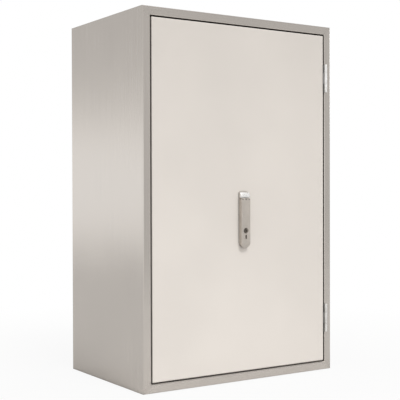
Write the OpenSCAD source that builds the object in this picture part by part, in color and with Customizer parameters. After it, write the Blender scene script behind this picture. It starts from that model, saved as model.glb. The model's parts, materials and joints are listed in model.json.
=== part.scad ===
// Steel wall enclosure: inset hinged door, swing handle with a profile cylinder, and a
// three-way rod lock driven by a rack and pinion behind the handle.
// Millimetres, +Z up, front towards -Y. The origin is the centre of the wall-fixing
// holes on the rear face, and it lies at half height and half width.

/* [Cabinet] */
// Width over the side panels
cab_w = 600; // [480:1:1000]
// Height over the top and bottom panels
cab_h = 950; // [760:1:1600]
// Depth from the wall to the face of the front frame
cab_d = 400; // [250:1:600]
// Thickness of the casing's sheet
sheet_t = 1.5; // [1:0.1:2]
// Outside radius of the casing's folded edges
fold_r = 3; // [2.5:0.1:4]
// Width of the front frame's face
frame_w = 22; // [18:0.5:30]
// Width of the flange behind the door's edge, which carries the sealing edge
seal_flange_w = 15; // [12:0.5:20]
// Height of the sealing edge turned up from that flange
seal_edge_h = 5.3; // [4.6:0.1:8]
// Width of the casing's flange round the rear panel
rear_flange_w = 25; // [15:1:40]

/* [Wall fixing] */
// Distance of a wall-fixing hole from the cabinet's side and from its end
wall_hole_inset = 50; // [40:1:100]
// Diameter of a wall-fixing hole
wall_hole_d = 9; // [6.5:0.5:11]

/* [Door] */
// Gap between the door's edge and the frame
door_gap = 3.5; // [3.4:0.1:5]
// Depth of the door's folded pan
door_depth = 20; // [18:1:30]
// Thickness of the door's sheet
door_t = 2; // [1.5:0.1:2.5]
// Outside radius of the door's folded edges
door_fold_r = 3; // [2.6:0.1:4]
// Width of the flange folded in behind the door's edge
door_flange_w = 14.5; // [14:0.5:20]
// Width of the door's gasket
gasket_w = 12; // [11:0.5:13]
// Thickness of the door's gasket
gasket_t = 4; // [3:0.5:6]
// Clearance between the gasket and the sealing edge
gasket_gap = 0.2; // [0.1:0.1:0.4]
// Distance of the door's stiffening rails from its edges, to their centres
rail_inset = 34.5; // [34.5:0.5:50]
// Width of a rail over its web
rail_w = 22; // [16:1:26]
// Depth of a rail
rail_depth = 14.5; // [10:0.5:15]
// Width of a rail's welding flange
rail_flange_w = 8; // [6:1:10]
// Thickness of a rail
rail_t = 1.5; // [1:0.1:2]
// Pitch of the holes along a rail
rail_pitch = 25; // [20:1:50]
// Diameter of a rail's holes
rail_hole_d = 5; // [4:0.5:8]
// Distance from a rail's end to the door's end
rail_end_gap = 55; // [40:1:100]

/* [Hinges] */
// Distance from the cabinet's side to the hinge axis
hinge_inset = 20; // [19.5:0.5:22]
// Distance from the cabinet's end to a hinge's centre
hinge_end = 143.5; // [80:0.5:250]
// Length of a hinge
hinge_l = 76; // [60:1:100]
// Length of each of the two knuckles on the frame
frame_knuckle_l = 22; // [16:1:25]
// Clearance between knuckles
knuckle_gap = 0.3; // [0.2:0.1:0.5]
// Radius of the barrel
barrel_r = 3.7; // [3.5:0.1:4.4]
// Diameter of the hinge pin
hinge_pin_d = 4; // [3:0.1:4.4]
// Thickness of a hinge leaf
leaf_t = 1.6; // [1.2:0.1:1.6]
// Depth that a leaf reaches into the gap
leaf_depth = 16; // [10:1:17]

/* [Handle] */
// Height of the handle's turning axis above the cabinet's middle
handle_z = 0; // [-60:1:60]
// Width of the base plate
base_w = 28.5; // [28:0.5:38]
// Length of the base plate above the turning axis
base_up = 20; // [19.5:0.5:24]
// Length of the base plate below the turning axis
base_down = 124; // [123:1:130]
// Thickness of the base plate
base_t = 3.6; // [3.6:0.1:6]
// Thickness of the base plate's gasket
base_gasket_t = 1; // [0.5:0.1:2]
// Width of the lever and of the rotor's head
lever_w = 27.5; // [27:0.5:32]
// Thickness of the lever
lever_t = 8.5; // [8:0.5:14]
// Length of the lever below its hinge pin
lever_l = 127; // [126:1:135]
// Wall of the lever's hollow back
lever_wall = 2.2; // [1.8:0.1:3]
// Clearance between the lever and the base plate
lever_gap = 0.5; // [0.4:0.1:1]
// Length of the rotor's bevelled head
head_l = 13; // [11:0.5:14]
// Diameter of the lever's hinge pin
lever_pin_d = 2.5; // [2:0.1:3]
// Width of the rotor's lug between the lever's cheeks
lug_w = 9; // [8:0.5:12]
// Diameter of the rotor's neck
neck_d = 16; // [15:0.5:18]
// Width across the square spindle
spindle_w = 8; // [7:0.5:8]

/* [Lock cylinder] */
// Distance from the handle's turning axis down to the cylinder's round part
cyl_drop = 82; // [81.5:0.5:86]
// Diameter of the cylinder's round part
cyl_d = 17; // [17:0.1:17.5]
// Height of the cylinder's profile
cyl_h = 33; // [32.5:0.1:33]
// Width of the profile's leg
cyl_leg_w = 10; // [9.5:0.1:10]
// Length of the cylinder in front of its cam
cyl_front_l = 25.2; // [25:0.1:28]
// Width of the slot for the cam
cam_slot_w = 10; // [9:0.5:11]
// Length of the cylinder behind its cam
cyl_rear_l = 4.8; // [4:0.1:5]
// Diameter of the plug
plug_d = 13; // [12:0.1:13]
// Reach of the cam from the plug's axis
cam_reach = 14.6; // [13:0.1:15]

/* [Rod lock] */
// Module of the pinion's teeth
gear_module = 1.5; // [1.5:0.01:1.6]
// Number of teeth on the pinion
pinion_teeth = 17; // [17:1:18]
// Play between meshing teeth along the pitch line
backlash = 0.2; // [0.15:0.05:0.4]
// Thickness of a rack
rack_t = 4; // [3:0.5:5]
// Width of a rod, and of a rack's body behind its teeth
rod_w = 12; // [10:1:14]
// Thickness of a rod
rod_t = 4; // [3:0.5:4]
// Distance from the casing's outer face to a rod's tip when locked
rod_reach = 27; // [25:0.5:30]
// Length of a rod's tip
tip_l = 30; // [24:1:36]
// Width of a rod's tip
tip_w = 24; // [20:1:28]
// Half width of the square lock case
case_half = 36; // [36:1:42]
// Thickness of the lock case's floor
case_floor_t = 2; // [1.5:0.1:3]
// Thickness of the lock case's cover
case_cover_t = 1.5; // [1:0.1:2]
// Distance of the lock case's screws from its axis
case_screw = 31.5; // [31.5:0.5:36]
// Length of a rod guide along its rod
guide_l = 16; // [12:1:20]

/* [Fittings inside] */
// Thickness of the mounting plate
plate_t = 2.5; // [2:0.1:3]
// Clearance between the mounting plate's edge and the door opening's edge
plate_clear = 5; // [3:0.5:20]
// Length of the spacers behind the mounting plate
spacer_l = 18; // [14:1:40]
// Distance of a stud from the mounting plate's edges
stud_inset = 25; // [22:1:80]
// Diameter of the plate's studs
stud_d = 8; // [6:1:8]
// Width of the opening under the gland plate
gland_w = 400; // [200:5:420]
// Depth of the opening under the gland plate
gland_d = 130; // [80:5:180]
// Distance of that opening's centre from the wall
gland_y = 190; // [120:5:220]
// Thickness of the gland plate
gland_plate_t = 2; // [1.5:0.1:3]
// Thickness of the gland plate's gasket
gland_gasket_t = 2; // [1:0.1:3]
// Width by which the gland plate overlaps its opening's edge
gland_lap = 20; // [18:1:30]

/* [Hidden] */
$fn = 48;

// Amount by which a cutter passes the face it cuts
over = 1;
// Radial clearance of a running fit
run_fit = 0.05;
// Clearance of a part that slides or drops into its seat
slide_fit = 0.1;
// Clearance round a screw or stud in its hole
screw_fit = 0.25;

front_y = -cab_d;
flange_end = frame_w - sheet_t + seal_flange_w;
seal_edge_depth = door_depth + gasket_t + gasket_gap;
flange_depth = seal_edge_depth + seal_edge_h;

door_w = cab_w - 2 * (frame_w + door_gap);
door_h = cab_h - 2 * (frame_w + door_gap);
door_back_y = front_y + door_depth;
door_skin_y = front_y + door_t;

// The hinge axis stands just far enough out for the barrel to clear the frame
barrel_clear = 0.3;
hinge_x = cab_w / 2 - hinge_inset;
hinge_y = front_y - barrel_clear - barrel_r;
upper_hinge_z = cab_h / 2 - hinge_end;
lower_hinge_z = -upper_hinge_z;

base_front_y = front_y - base_gasket_t - base_t;
lever_back_y = base_front_y - lever_gap;
lever_front_y = lever_back_y - lever_t;
lever_pin_y = (lever_back_y + lever_front_y) / 2;
nose_r = lever_t / 2;
lug_r = nose_r - 2.1;
lever_edge_r = 1.4;
lever_top_r = 6.5;
head_gap = 0.5;
head_z = nose_r + head_gap;
head_edge_r = 3.5;
head_flat = 4;
rotor_flange_d = 23.5;
rotor_flange_t = 2.5;
neck_boss_wall = 3;
neck_boss_end_y = front_y + 10;
clip_t = 1.2;
clip_groove_d = neck_d - 2;
neck_end_y = neck_boss_end_y + 2 * clip_t + over;
handle_screw_d = 5;
handle_screw_z = [-42, -118];
// The lever's grub screws: one in the middle and one at each side
grub_d = 3.4;
grub_key_w = 1.8;
grub_x = 0.36 * lever_w;

cyl_z = handle_z - cyl_drop;
cyl_l = cyl_front_l + cam_slot_w + cyl_rear_l;
cyl_back_y = base_front_y + cyl_l;
cam_front_y = base_front_y + cyl_front_l;
cyl_bottom_z = cyl_z + cyl_d / 2 - cyl_h;
cyl_bridge_h = 9.3;
cyl_boss_wall = 4;
cyl_boss_end_y = front_y + 14;
cyl_screw_d = 5;
cyl_screw_y = cam_front_y + cam_slot_w / 2;
cyl_screw_z = cyl_bottom_z + cyl_bridge_h / 2;
cyl_arm_half = 11;
// The lever's opening over the plug, and its slot over the cylinder's leg
key_opening_d = plug_d + 1.4;
leg_slot_w = 5;
leg_slot_h = 12;
leg_slot_z = cyl_z - 16;

// The rod lock lies in two layers behind the sealing flange: the side rack runs in the
// front layer and the two vertical racks in the rear one
pitch_r = gear_module * pinion_teeth / 2;
addendum = gear_module;
dedendum = 1.25 * gear_module;
pressure = 20;
travel = pitch_r * PI / 2;
layer_gap = 0.5;
case_set_in = 1;
case_front_y = front_y + flange_depth - case_set_in;
front_layer_y = case_front_y + case_floor_t + slide_fit;
rear_layer_y = front_layer_y + rack_t + layer_gap;
case_back_y = rear_layer_y + rack_t + slide_fit;
cover_back_y = case_back_y + case_cover_t;
rod_offset = pitch_r + dedendum + rod_w / 2;
rack_tail = 12;
lap_l = 15;
lap_start = case_half + travel + 1.5;
vertical_rod_y = rear_layer_y - rod_t;
side_rod_y = front_layer_y + rack_t;
tip_gap = 0.3;
tip_front_y = front_y + flange_depth + tip_gap;
tip_back_wall = 2.5;
tip_ramp = 6;
rod_in_tip = 20;
peg_d = 5;
hub_d = 16;
rear_hub_d = 13;
case_screw_d = 4;
standoff_d = 9;
vertical_reach = cab_h / 2 - rod_reach;
side_reach = cab_w / 2 - rod_reach;
guide_gap = 4;
guide_foot_w = 52;
guide_foot_t = 3;
guide_column_w = 22;
guide_stud_d = 5;
guide_stud_offset = 20.5;
guide_stud_l = 12;
guide_nut_h = 4;

plate_w = cab_w - 2 * (flange_end + plate_clear);
plate_h = cab_h - 2 * (flange_end + plate_clear);
stud_x = plate_w / 2 - stud_inset;
stud_z = plate_h / 2 - stud_inset;
plate_back_y = -(sheet_t + spacer_l);
plate_front_y = plate_back_y - plate_t;
plate_edge_h = 10;
nut_h = 6.5;
stud_end_y = plate_front_y - nut_h - 3;

floor_z = -cab_h / 2 + sheet_t;
gland_seat_z = floor_z + gland_gasket_t;
gland_stud_d = 5;
gland_nut_h = 4;
earth_stud_l = 20;

// ---- helpers ----

// A flat shape given in X and Z, as a plate between two planes across Y
module plate_y(y0, y1) {
  translate([0, y1, 0]) rotate([90, 0, 0]) linear_extrude(y1 - y0) children();
}

// A flat shape given in Y and Z, as a plate between two planes across X
module plate_x(x0, x1) {
  translate([x0, 0, 0]) rotate([90, 0, 90]) linear_extrude(x1 - x0) children();
}

// A flat shape given in X and Y, as a plate between two planes across Z
module plate_z(z0, z1) {
  translate([0, 0, z0]) linear_extrude(z1 - z0) children();
}

// A round bar along Y from y0 to y1
module bar_y(x, z, y0, y1, d) {
  translate([x, y1, z]) rotate([90, 0, 0]) cylinder(h = y1 - y0, d = d);
}

// A hexagon nut along Y from y0 to y1
module nut_y(x, z, y0, y1, d) {
  translate([x, y1, z]) rotate([90, 0, 0]) difference() {
    cylinder(h = y1 - y0, d = 1.85 * d, $fn = 6);
    translate([0, 0, -over]) cylinder(h = y1 - y0 + 2 * over, d = d + 2 * run_fit);
  }
}

// A rectangle between two corners
module strip(x0, y0, x1, y1) {
  translate([x0, y0]) square([x1 - x0, y1 - y0]);
}

// The waste outside a round corner at (x, y), whose inside lies towards (sx, sy)
module corner_waste(x, y, sx, sy, r) {
  difference() {
    strip(sx > 0 ? x - over : x - r, sy > 0 ? y - over : y - r,
          sx > 0 ? x + r : x + over, sy > 0 ? y + r : y + over);
    translate([x + sx * r, y + sy * r]) circle(r);
  }
}

// A rectangle with its two lower corners rounded by r0 and its two upper ones by r1
module soft_strip(x0, y0, x1, y1, r0, r1) {
  difference() {
    strip(x0, y0, x1, y1);
    corner_waste(x0, y0, 1, 1, r0);
    corner_waste(x1, y0, -1, 1, r0);
    corner_waste(x0, y1, 1, -1, r1);
    corner_waste(x1, y1, -1, -1, r1);
  }
}

// A folded corner of sheet: a quarter ring about (x, y) in the quadrant (sx, sy)
module fold(x, y, sx, sy, r, t) {
  intersection() {
    translate([x, y]) difference() {
      circle(r);
      circle(r - t);
    }
    strip(sx > 0 ? x : x - r, sy > 0 ? y : y - r, sx > 0 ? x + r : x, sy > 0 ? y + r : y);
  }
}

// Copies at the four corners of a rectangle in X and Z
module four_corners(dx, dz) {
  for (x = [-dx, dx], z = [-dz, dz]) translate([x, 0, z]) children();
}

// ---- casing ----

// Section through one member of the casing: X is the distance in from its outer face
// and Y the depth behind the front. It runs from the sealing edge round to the rear flange
module casing_section() {
  inner = frame_w - sheet_t;
  strip(0, fold_r, sheet_t, cab_d - fold_r);
  fold(fold_r, fold_r, -1, -1, fold_r, sheet_t);
  strip(fold_r, 0, frame_w - fold_r, sheet_t);
  fold(frame_w - fold_r, fold_r, 1, -1, fold_r, sheet_t);
  strip(inner, fold_r, frame_w, flange_depth - fold_r);
  fold(inner + fold_r, flange_depth - fold_r, -1, 1, fold_r, sheet_t);
  strip(inner + fold_r, flange_depth - sheet_t, flange_end - fold_r, flange_depth);
  fold(flange_end - fold_r, flange_depth - fold_r, 1, 1, fold_r, sheet_t);
  strip(flange_end - sheet_t, seal_edge_depth, flange_end, flange_depth - fold_r);
  fold(fold_r, cab_d - fold_r, -1, 1, fold_r, sheet_t);
  strip(fold_r, cab_d - sheet_t, rear_flange_w, cab_d);
}

// One member of the casing along Z, mitred at both ends for its neighbours
module casing_member(length) {
  reach = max(flange_end, rear_flange_w) + over;
  intersection() {
    plate_z(-length / 2, length / 2) casing_section();
    plate_y(-over, cab_d + over) polygon([
      [-over, -length / 2 - over], [reach, -length / 2 + reach],
      [reach, length / 2 - reach], [-over, length / 2 + over]
    ]);
  }
}

module left_side_panel() {
  color("silver") translate([-cab_w / 2, front_y, 0]) casing_member(cab_h);
}

module right_side_panel() {
  color("silver") translate([cab_w / 2, front_y, 0]) rotate([0, 180, 0]) casing_member(cab_h);
}

module top_panel() {
  color("silver") translate([0, front_y, cab_h / 2]) rotate([0, 90, 0]) casing_member(cab_w);
}

// Outline of the gland plate's opening, grown by a margin
module gland_outline(margin, r) {
  soft_strip(-gland_w / 2 - margin, -gland_y - gland_d / 2 - margin,
             gland_w / 2 + margin, -gland_y + gland_d / 2 + margin, r, r);
}

module bottom_panel() {
  color("silver") difference() {
    translate([0, front_y, -cab_h / 2]) rotate([0, -90, 0]) casing_member(cab_w);
    plate_z(-cab_h / 2 - over, floor_z + over) gland_outline(0, 5);
  }
}

module rear_panel() {
  half_w = cab_w / 2 - rear_flange_w;
  half_h = cab_h / 2 - rear_flange_w;
  color("silver") plate_y(-sheet_t, 0) difference() {
    strip(-half_w, -half_h, half_w, half_h);
    for (x = [-1, 1], z = [-1, 1])
      translate([x * (cab_w / 2 - wall_hole_inset), z * (cab_h / 2 - wall_hole_inset)])
        circle(d = wall_hole_d);
  }
}

// ---- hinges ----

// Section of a knuckle with its leaf: the leaf runs from the barrel to leaf_x and turns
// back into the gap there, on the side given by turn
module knuckle_section(leaf_x, turn) {
  plate_front = hinge_y + barrel_r - leaf_t;
  hook_x = leaf_x + turn * leaf_t;
  difference() {
    union() {
      translate([hinge_x, hinge_y]) circle(barrel_r);
      strip(min(leaf_x, hook_x), plate_front, hinge_x, plate_front + leaf_t);
      strip(min(leaf_x, hook_x), plate_front, max(leaf_x, hook_x), front_y + leaf_depth);
    }
    translate([hinge_x, hinge_y]) circle(hinge_pin_d / 2 + run_fit);
  }
}

// The leaf on the frame: two knuckles joined by a web down the gap
module hinge_frame_leaf(z) {
  frame_x = cab_w / 2 - frame_w;
  color("gainsboro") translate([0, 0, z]) {
    for (end = [-1, 1])
      mirror([0, 0, end < 0 ? 1 : 0])
        plate_z(hinge_l / 2 - frame_knuckle_l, hinge_l / 2) knuckle_section(frame_x, -1);
    plate_z(-hinge_l / 2, hinge_l / 2)
      strip(frame_x - leaf_t, front_y + knuckle_gap, frame_x, front_y + leaf_depth);
  }
}

// The leaf on the door: one knuckle between the frame's two
module hinge_door_leaf(z) {
  half_l = hinge_l / 2 - frame_knuckle_l - knuckle_gap;
  color("gainsboro") plate_z(z - half_l, z + half_l) knuckle_section(door_w / 2, 1);
}

// The pin, with a low domed head that rests on the upper knuckle
module hinge_pin(z) {
  head_r = barrel_r - 0.6;
  head_h = 1.4;
  color("white") translate([hinge_x, hinge_y, z]) {
    translate([0, 0, -hinge_l / 2]) cylinder(h = hinge_l, d = hinge_pin_d);
    translate([0, 0, hinge_l / 2]) rotate_extrude() intersection() {
      translate([0, head_h - head_r * 2]) circle(head_r * 2);
      strip(0, 0, head_r, head_h);
    }
  }
}

module upper_hinge_frame_leaf() { hinge_frame_leaf(upper_hinge_z); }
module lower_hinge_frame_leaf() { hinge_frame_leaf(lower_hinge_z); }
module upper_hinge_door_leaf() { hinge_door_leaf(upper_hinge_z); }
module lower_hinge_door_leaf() { hinge_door_leaf(lower_hinge_z); }
module upper_hinge_pin() { hinge_pin(upper_hinge_z); }
module lower_hinge_pin() { hinge_pin(lower_hinge_z); }

// ---- fittings inside the cabinet ----

module mounting_plate() {
  half_w = plate_w / 2;
  half_h = plate_h / 2;
  color("lightsteelblue") {
    difference() {
      plate_y(plate_front_y, plate_back_y) soft_strip(-half_w, -half_h, half_w, half_h, 3, 3);
      four_corners(stud_x, stud_z)
        bar_y(0, 0, plate_front_y - over, plate_back_y + over, stud_d + 2 * screw_fit);
    }
    // Both long edges are folded back
    for (side = [-1, 1])
      mirror([side < 0 ? 1 : 0, 0, 0])
        plate_z(-half_h + 12, half_h - 12)
          strip(half_w - plate_t, plate_back_y, half_w, plate_back_y + plate_edge_h);
  }
}

module plate_studs() {
  color("silver") four_corners(stud_x, stud_z)
    bar_y(0, 0, stud_end_y, -sheet_t, stud_d);
}

module plate_spacers() {
  color("silver") four_corners(stud_x, stud_z) difference() {
    bar_y(0, 0, plate_back_y, -sheet_t, 2 * stud_d);
    bar_y(0, 0, plate_back_y - over, -sheet_t + over, stud_d + 2 * run_fit);
  }
}

module plate_nuts() {
  color("silver") four_corners(stud_x, stud_z) {
    nut_y(0, 0, plate_front_y - nut_h, plate_front_y, stud_d);
  }
}

// Places of the gland plate's studs, in X and Y
function gland_points() = [
  for (i = [-1, 0, 1], j = [-1, 1])
    [i * (gland_w + gland_lap) / 2, -gland_y + j * (gland_d + gland_lap) / 2]
];

module gland_plate() {
  color("silver") difference() {
    union() {
      plate_z(gland_seat_z, gland_seat_z + gland_plate_t) gland_outline(gland_lap, 8);
      // A low rib pressed up in the middle stiffens the plate
      plate_z(gland_seat_z + gland_plate_t, gland_seat_z + 2 * gland_plate_t)
        gland_outline(-gland_lap, 8);
    }
    plate_z(gland_seat_z - over, gland_seat_z + gland_plate_t)
      gland_outline(-gland_lap - gland_plate_t, 6);
    for (p = gland_points())
      translate([p[0], p[1], gland_seat_z - over])
        cylinder(h = gland_plate_t + 2 * over, d = gland_stud_d + 2 * screw_fit);
  }
}

module gland_gasket() {
  color("dimgray") plate_z(floor_z, gland_seat_z) difference() {
    gland_outline(gland_lap, 8);
    gland_outline(0, 5);
    for (p = gland_points()) translate(p) circle(d = gland_stud_d + 2 * screw_fit);
  }
}

module gland_studs() {
  color("silver") for (p = gland_points())
    translate([p[0], p[1], floor_z])
      cylinder(h = gland_gasket_t + gland_plate_t + gland_nut_h + 2, d = gland_stud_d);
}

module gland_nuts() {
  color("silver") for (p = gland_points())
    translate([p[0], p[1], gland_seat_z + gland_plate_t]) difference() {
      cylinder(h = gland_nut_h, d = 1.85 * gland_stud_d, $fn = 6);
      translate([0, 0, -over])
        cylinder(h = gland_nut_h + 2 * over, d = gland_stud_d + 2 * run_fit);
    }
}

// Weld stud for the protective earth, on the left side panel
module cabinet_earth_stud() {
  color("goldenrod") translate([-cab_w / 2 + sheet_t, -60, -cab_h / 2 + 70])
    rotate([0, 90, 0]) {
      cylinder(h = 2, d = 14);
      cylinder(h = earth_stud_l, d = stud_d);
    }
}

// ---- door ----

// A block with soft edges along its four front and four back sides
module pan_block(w, h, y0, y1, r) {
  intersection() {
    plate_z(-h / 2, h / 2) soft_strip(-w / 2, y0, w / 2, y1, r, r);
    plate_x(-w / 2, w / 2) soft_strip(y0, -h / 2, y1, h / 2, r, r);
  }
}

// Outline of the boss behind the base plate that holds the cylinder
module cylinder_boss_outline(margin) {
  half = cyl_d / 2 + cyl_boss_wall + margin;
  soft_strip(-half, cyl_bottom_z - cyl_boss_wall - margin, half,
             cyl_z + cyl_d / 2 + cyl_boss_wall + margin, 6, 6);
}

module door_panel() {
  color("oldlace") difference() {
    pan_block(door_w, door_h, front_y, door_back_y, door_fold_r);
    pan_block(door_w - 2 * door_t, door_h - 2 * door_t, door_skin_y, door_back_y - door_t,
              door_fold_r - door_t);
    translate([-door_w / 2 + door_flange_w, front_y + door_depth / 2,
               -door_h / 2 + door_flange_w])
      cube([door_w - 2 * door_flange_w, door_depth, door_h - 2 * door_flange_w]);
    bar_y(0, handle_z, front_y - over, door_skin_y + over,
          neck_d + 2 * (neck_boss_wall + slide_fit));
    plate_y(front_y - over, door_skin_y + over) cylinder_boss_outline(slide_fit);
    for (z = handle_screw_z)
      bar_y(0, handle_z + z, front_y - over, door_skin_y + over, handle_screw_d + 2 * screw_fit);
  }
}

// Section of the gasket: X runs inwards from the door's edge and Y is the depth
module gasket_section() {
  margin = (door_flange_w - gasket_w) / 2;
  crown = 2;
  soft_strip(margin, door_depth, margin + gasket_w, door_depth + gasket_t, 0.2, crown);
}

// The foamed gasket: four straight runs joined by quarter turns
module door_gasket() {
  turn_r = door_flange_w + 6;
  color("dimgray") translate([0, front_y, 0])
    for (side = [0, 1, 2, 3]) {
      across = side % 2 == 0 ? door_w : door_h;
      along = side % 2 == 0 ? door_h : door_w;
      rotate([0, 90 * side, 0]) translate([-across / 2, 0, 0]) {
        plate_z(-along / 2 + turn_r, along / 2 - turn_r) gasket_section();
        translate([turn_r, 0, along / 2 - turn_r]) rotate([-90, 0, 0])
          rotate_extrude(angle = 90) translate([-turn_r, 0]) gasket_section();
      }
    }
}

// Section of a stiffening rail across X, seated on the inside of the door's skin
module rail_section() {
  web_y = door_skin_y + rail_depth;
  half = rail_w / 2;
  strip(-half, web_y - rail_t, half, web_y);
  for (side = [-1, 1])
    mirror([side < 0 ? 1 : 0, 0]) {
      strip(half - rail_t, door_skin_y, half, web_y - rail_t);
      strip(half, door_skin_y, half + rail_flange_w, door_skin_y + rail_t);
    }
}

// A rail with a row of holes down its web, for fixing cables and pockets
module door_rail(side) {
  half_h = door_h / 2 - rail_end_gap;
  holes = floor((2 * half_h - rail_pitch) / rail_pitch / 2);
  web_y = door_skin_y + rail_depth;
  color("silver") translate([side * (door_w / 2 - rail_inset), 0, 0]) difference() {
    plate_z(-half_h, half_h) rail_section();
    for (i = [-holes : holes])
      bar_y(0, i * rail_pitch, web_y - rail_t - over, web_y + over, rail_hole_d);
  }
}

module left_door_rail() { door_rail(-1); }
module right_door_rail() { door_rail(1); }

// Weld stud for the protective earth, on the door's skin
module door_earth_stud() {
  color("goldenrod") translate([door_w / 2 - rail_inset - 60, door_skin_y, -door_h / 2 + 70])
    rotate([-90, 0, 0]) {
      cylinder(h = 2, d = 14);
      cylinder(h = earth_stud_l, d = stud_d);
    }
}

// ---- handle ----

// Outline of the base plate, grown by a margin
module base_outline() {
  soft_strip(-base_w / 2, handle_z - base_down, base_w / 2, handle_z + base_up,
             base_w / 2 - 0.5, 5);
}

// The cylinder's profile: a round part with a leg below it, grown by a margin
module cylinder_profile(margin) {
  half_leg = cyl_leg_w / 2 + margin;
  translate([0, cyl_z]) circle(cyl_d / 2 + margin);
  strip(-half_leg, cyl_bottom_z + cyl_leg_w / 2, half_leg, cyl_z);
  translate([0, cyl_bottom_z + cyl_leg_w / 2]) circle(half_leg);
}

module handle_gasket() {
  color("dimgray") plate_y(front_y - base_gasket_t, front_y) difference() {
    base_outline();
    translate([0, handle_z]) circle(neck_d / 2 + neck_boss_wall + slide_fit);
    cylinder_boss_outline(slide_fit);
    for (z = handle_screw_z)
      translate([0, handle_z + z]) circle(handle_screw_d / 2 + screw_fit);
  }
}

module handle_base() {
  base_back_y = front_y - base_gasket_t;
  arm_top_z = cyl_bottom_z + cyl_bridge_h - slide_fit;
  color("darkgray") difference() {
    union() {
      plate_y(base_front_y, base_back_y) base_outline();
      bar_y(0, handle_z, base_back_y, neck_boss_end_y, neck_d + 2 * neck_boss_wall);
      plate_y(base_back_y, cyl_boss_end_y) cylinder_boss_outline(0);
      // The arm under the cylinder's leg reaches back to the retaining screw
      plate_y(cyl_boss_end_y, cyl_screw_y + cyl_screw_d)
        strip(-cyl_arm_half, cyl_bottom_z - cyl_boss_wall, cyl_arm_half, arm_top_z);
    }
    bar_y(0, handle_z, base_front_y - over, neck_boss_end_y + over, neck_d + 2 * run_fit);
    bar_y(0, handle_z, base_front_y - over, base_front_y + rotor_flange_t + slide_fit,
          rotor_flange_d + 4 * run_fit);
    plate_y(base_front_y - over, cyl_screw_y + cyl_screw_d + over)
      cylinder_profile(slide_fit);
    for (z = handle_screw_z)
      bar_y(0, handle_z + z, base_back_y - 3, base_back_y + over, handle_screw_d + 2 * run_fit);
    translate([-cyl_arm_half - over, cyl_screw_y, cyl_screw_z]) rotate([0, 90, 0])
      cylinder(h = 2 * cyl_arm_half + 2 * over, d = cyl_screw_d + 2 * screw_fit);
  }
}

module handle_screws() {
  head_h = 3;
  color("silver") for (z = handle_screw_z) difference() {
    union() {
      bar_y(0, handle_z + z, door_skin_y, door_skin_y + head_h, 2 * handle_screw_d);
      bar_y(0, handle_z + z, front_y - base_gasket_t - 2.8, door_skin_y, handle_screw_d);
    }
    translate([0, door_skin_y + head_h + over, handle_z + z]) rotate([90, 0, 0])
      cylinder(h = head_h, d = 4.6, $fn = 6);
  }
}

// The rotor: a flange let into the base, a neck through it, a lug for the lever's pin and
// the bevelled head above the lever
module handle_rotor() {
  head_w = lever_w / 2 + 0.5;
  pin_r = lever_pin_d / 2 + run_fit;
  flange_y = base_front_y + rotor_flange_t;
  color("gainsboro") difference() {
    union() {
      bar_y(0, handle_z, base_front_y - 0.2, flange_y, rotor_flange_d);
      bar_y(0, handle_z, flange_y, neck_end_y, neck_d);
      translate([0, 0, handle_z]) plate_x(-lug_w / 2, lug_w / 2) {
        translate([lever_pin_y, 0]) circle(lug_r);
        strip(lever_pin_y, -lug_r, base_front_y, lug_r);
      }
      intersection() {
        translate([0, 0, handle_z]) plate_x(-head_w, head_w) polygon([
          [base_front_y - 0.4, head_z + head_l], [lever_back_y - 2, head_z + head_l],
          [lever_front_y, head_z + head_flat], [lever_front_y, head_z], [base_front_y - 0.4, head_z]
        ]);
        plate_z(handle_z + head_z - over, handle_z + head_z + head_l + over)
          soft_strip(-head_w, lever_front_y, head_w, base_front_y, head_edge_r, 0.3);
      }
      // The web that carries the head on the flange
      translate([0, 0, handle_z]) plate_x(-lug_w / 2, lug_w / 2)
        strip(base_front_y - 2.4, head_z, base_front_y, head_z + 5);
    }
    translate([-lug_w, lever_pin_y, handle_z]) rotate([0, 90, 0])
      cylinder(h = 2 * lug_w, r = pin_r);
    // The square socket for the spindle
    plate_y(base_front_y + 2, neck_end_y + over) translate([0, handle_z])
      square(spindle_w + slide_fit, center = true);
    // The groove for the retaining clip
    difference() {
      bar_y(0, handle_z, neck_boss_end_y + slide_fit, neck_boss_end_y + clip_t + 2 * slide_fit,
            neck_d + 2);
      bar_y(0, handle_z, neck_boss_end_y, neck_boss_end_y + 2 * clip_t, clip_groove_d);
    }
  }
}

// The spring clip behind the base plate's boss
module rotor_clip() {
  y0 = neck_boss_end_y + slide_fit + run_fit;
  color("dimgray") plate_y(y0, y0 + clip_t) translate([0, handle_z]) difference() {
    circle(d = neck_d + 5);
    circle(d = clip_groove_d + 2 * run_fit);
    strip(-clip_groove_d / 3, -neck_d, clip_groove_d / 3, 0);
  }
}

module square_spindle() {
  color("silver") plate_y(base_front_y + 2 + slide_fit, cover_back_y - slide_fit)
    translate([0, handle_z]) square(spindle_w, center = true);
}

// Side view of the lever: a round nose about its pin, a flat front and a bevelled foot
module lever_side() {
  foot_z = -lever_l;
  bevel_z = foot_z + 15;
  translate([lever_pin_y, 0]) circle(nose_r);
  polygon([
    [lever_front_y, 0], [lever_front_y, bevel_z], [lever_back_y - 4, foot_z],
    [lever_back_y, foot_z], [lever_back_y, 0]
  ]);
}

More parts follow.
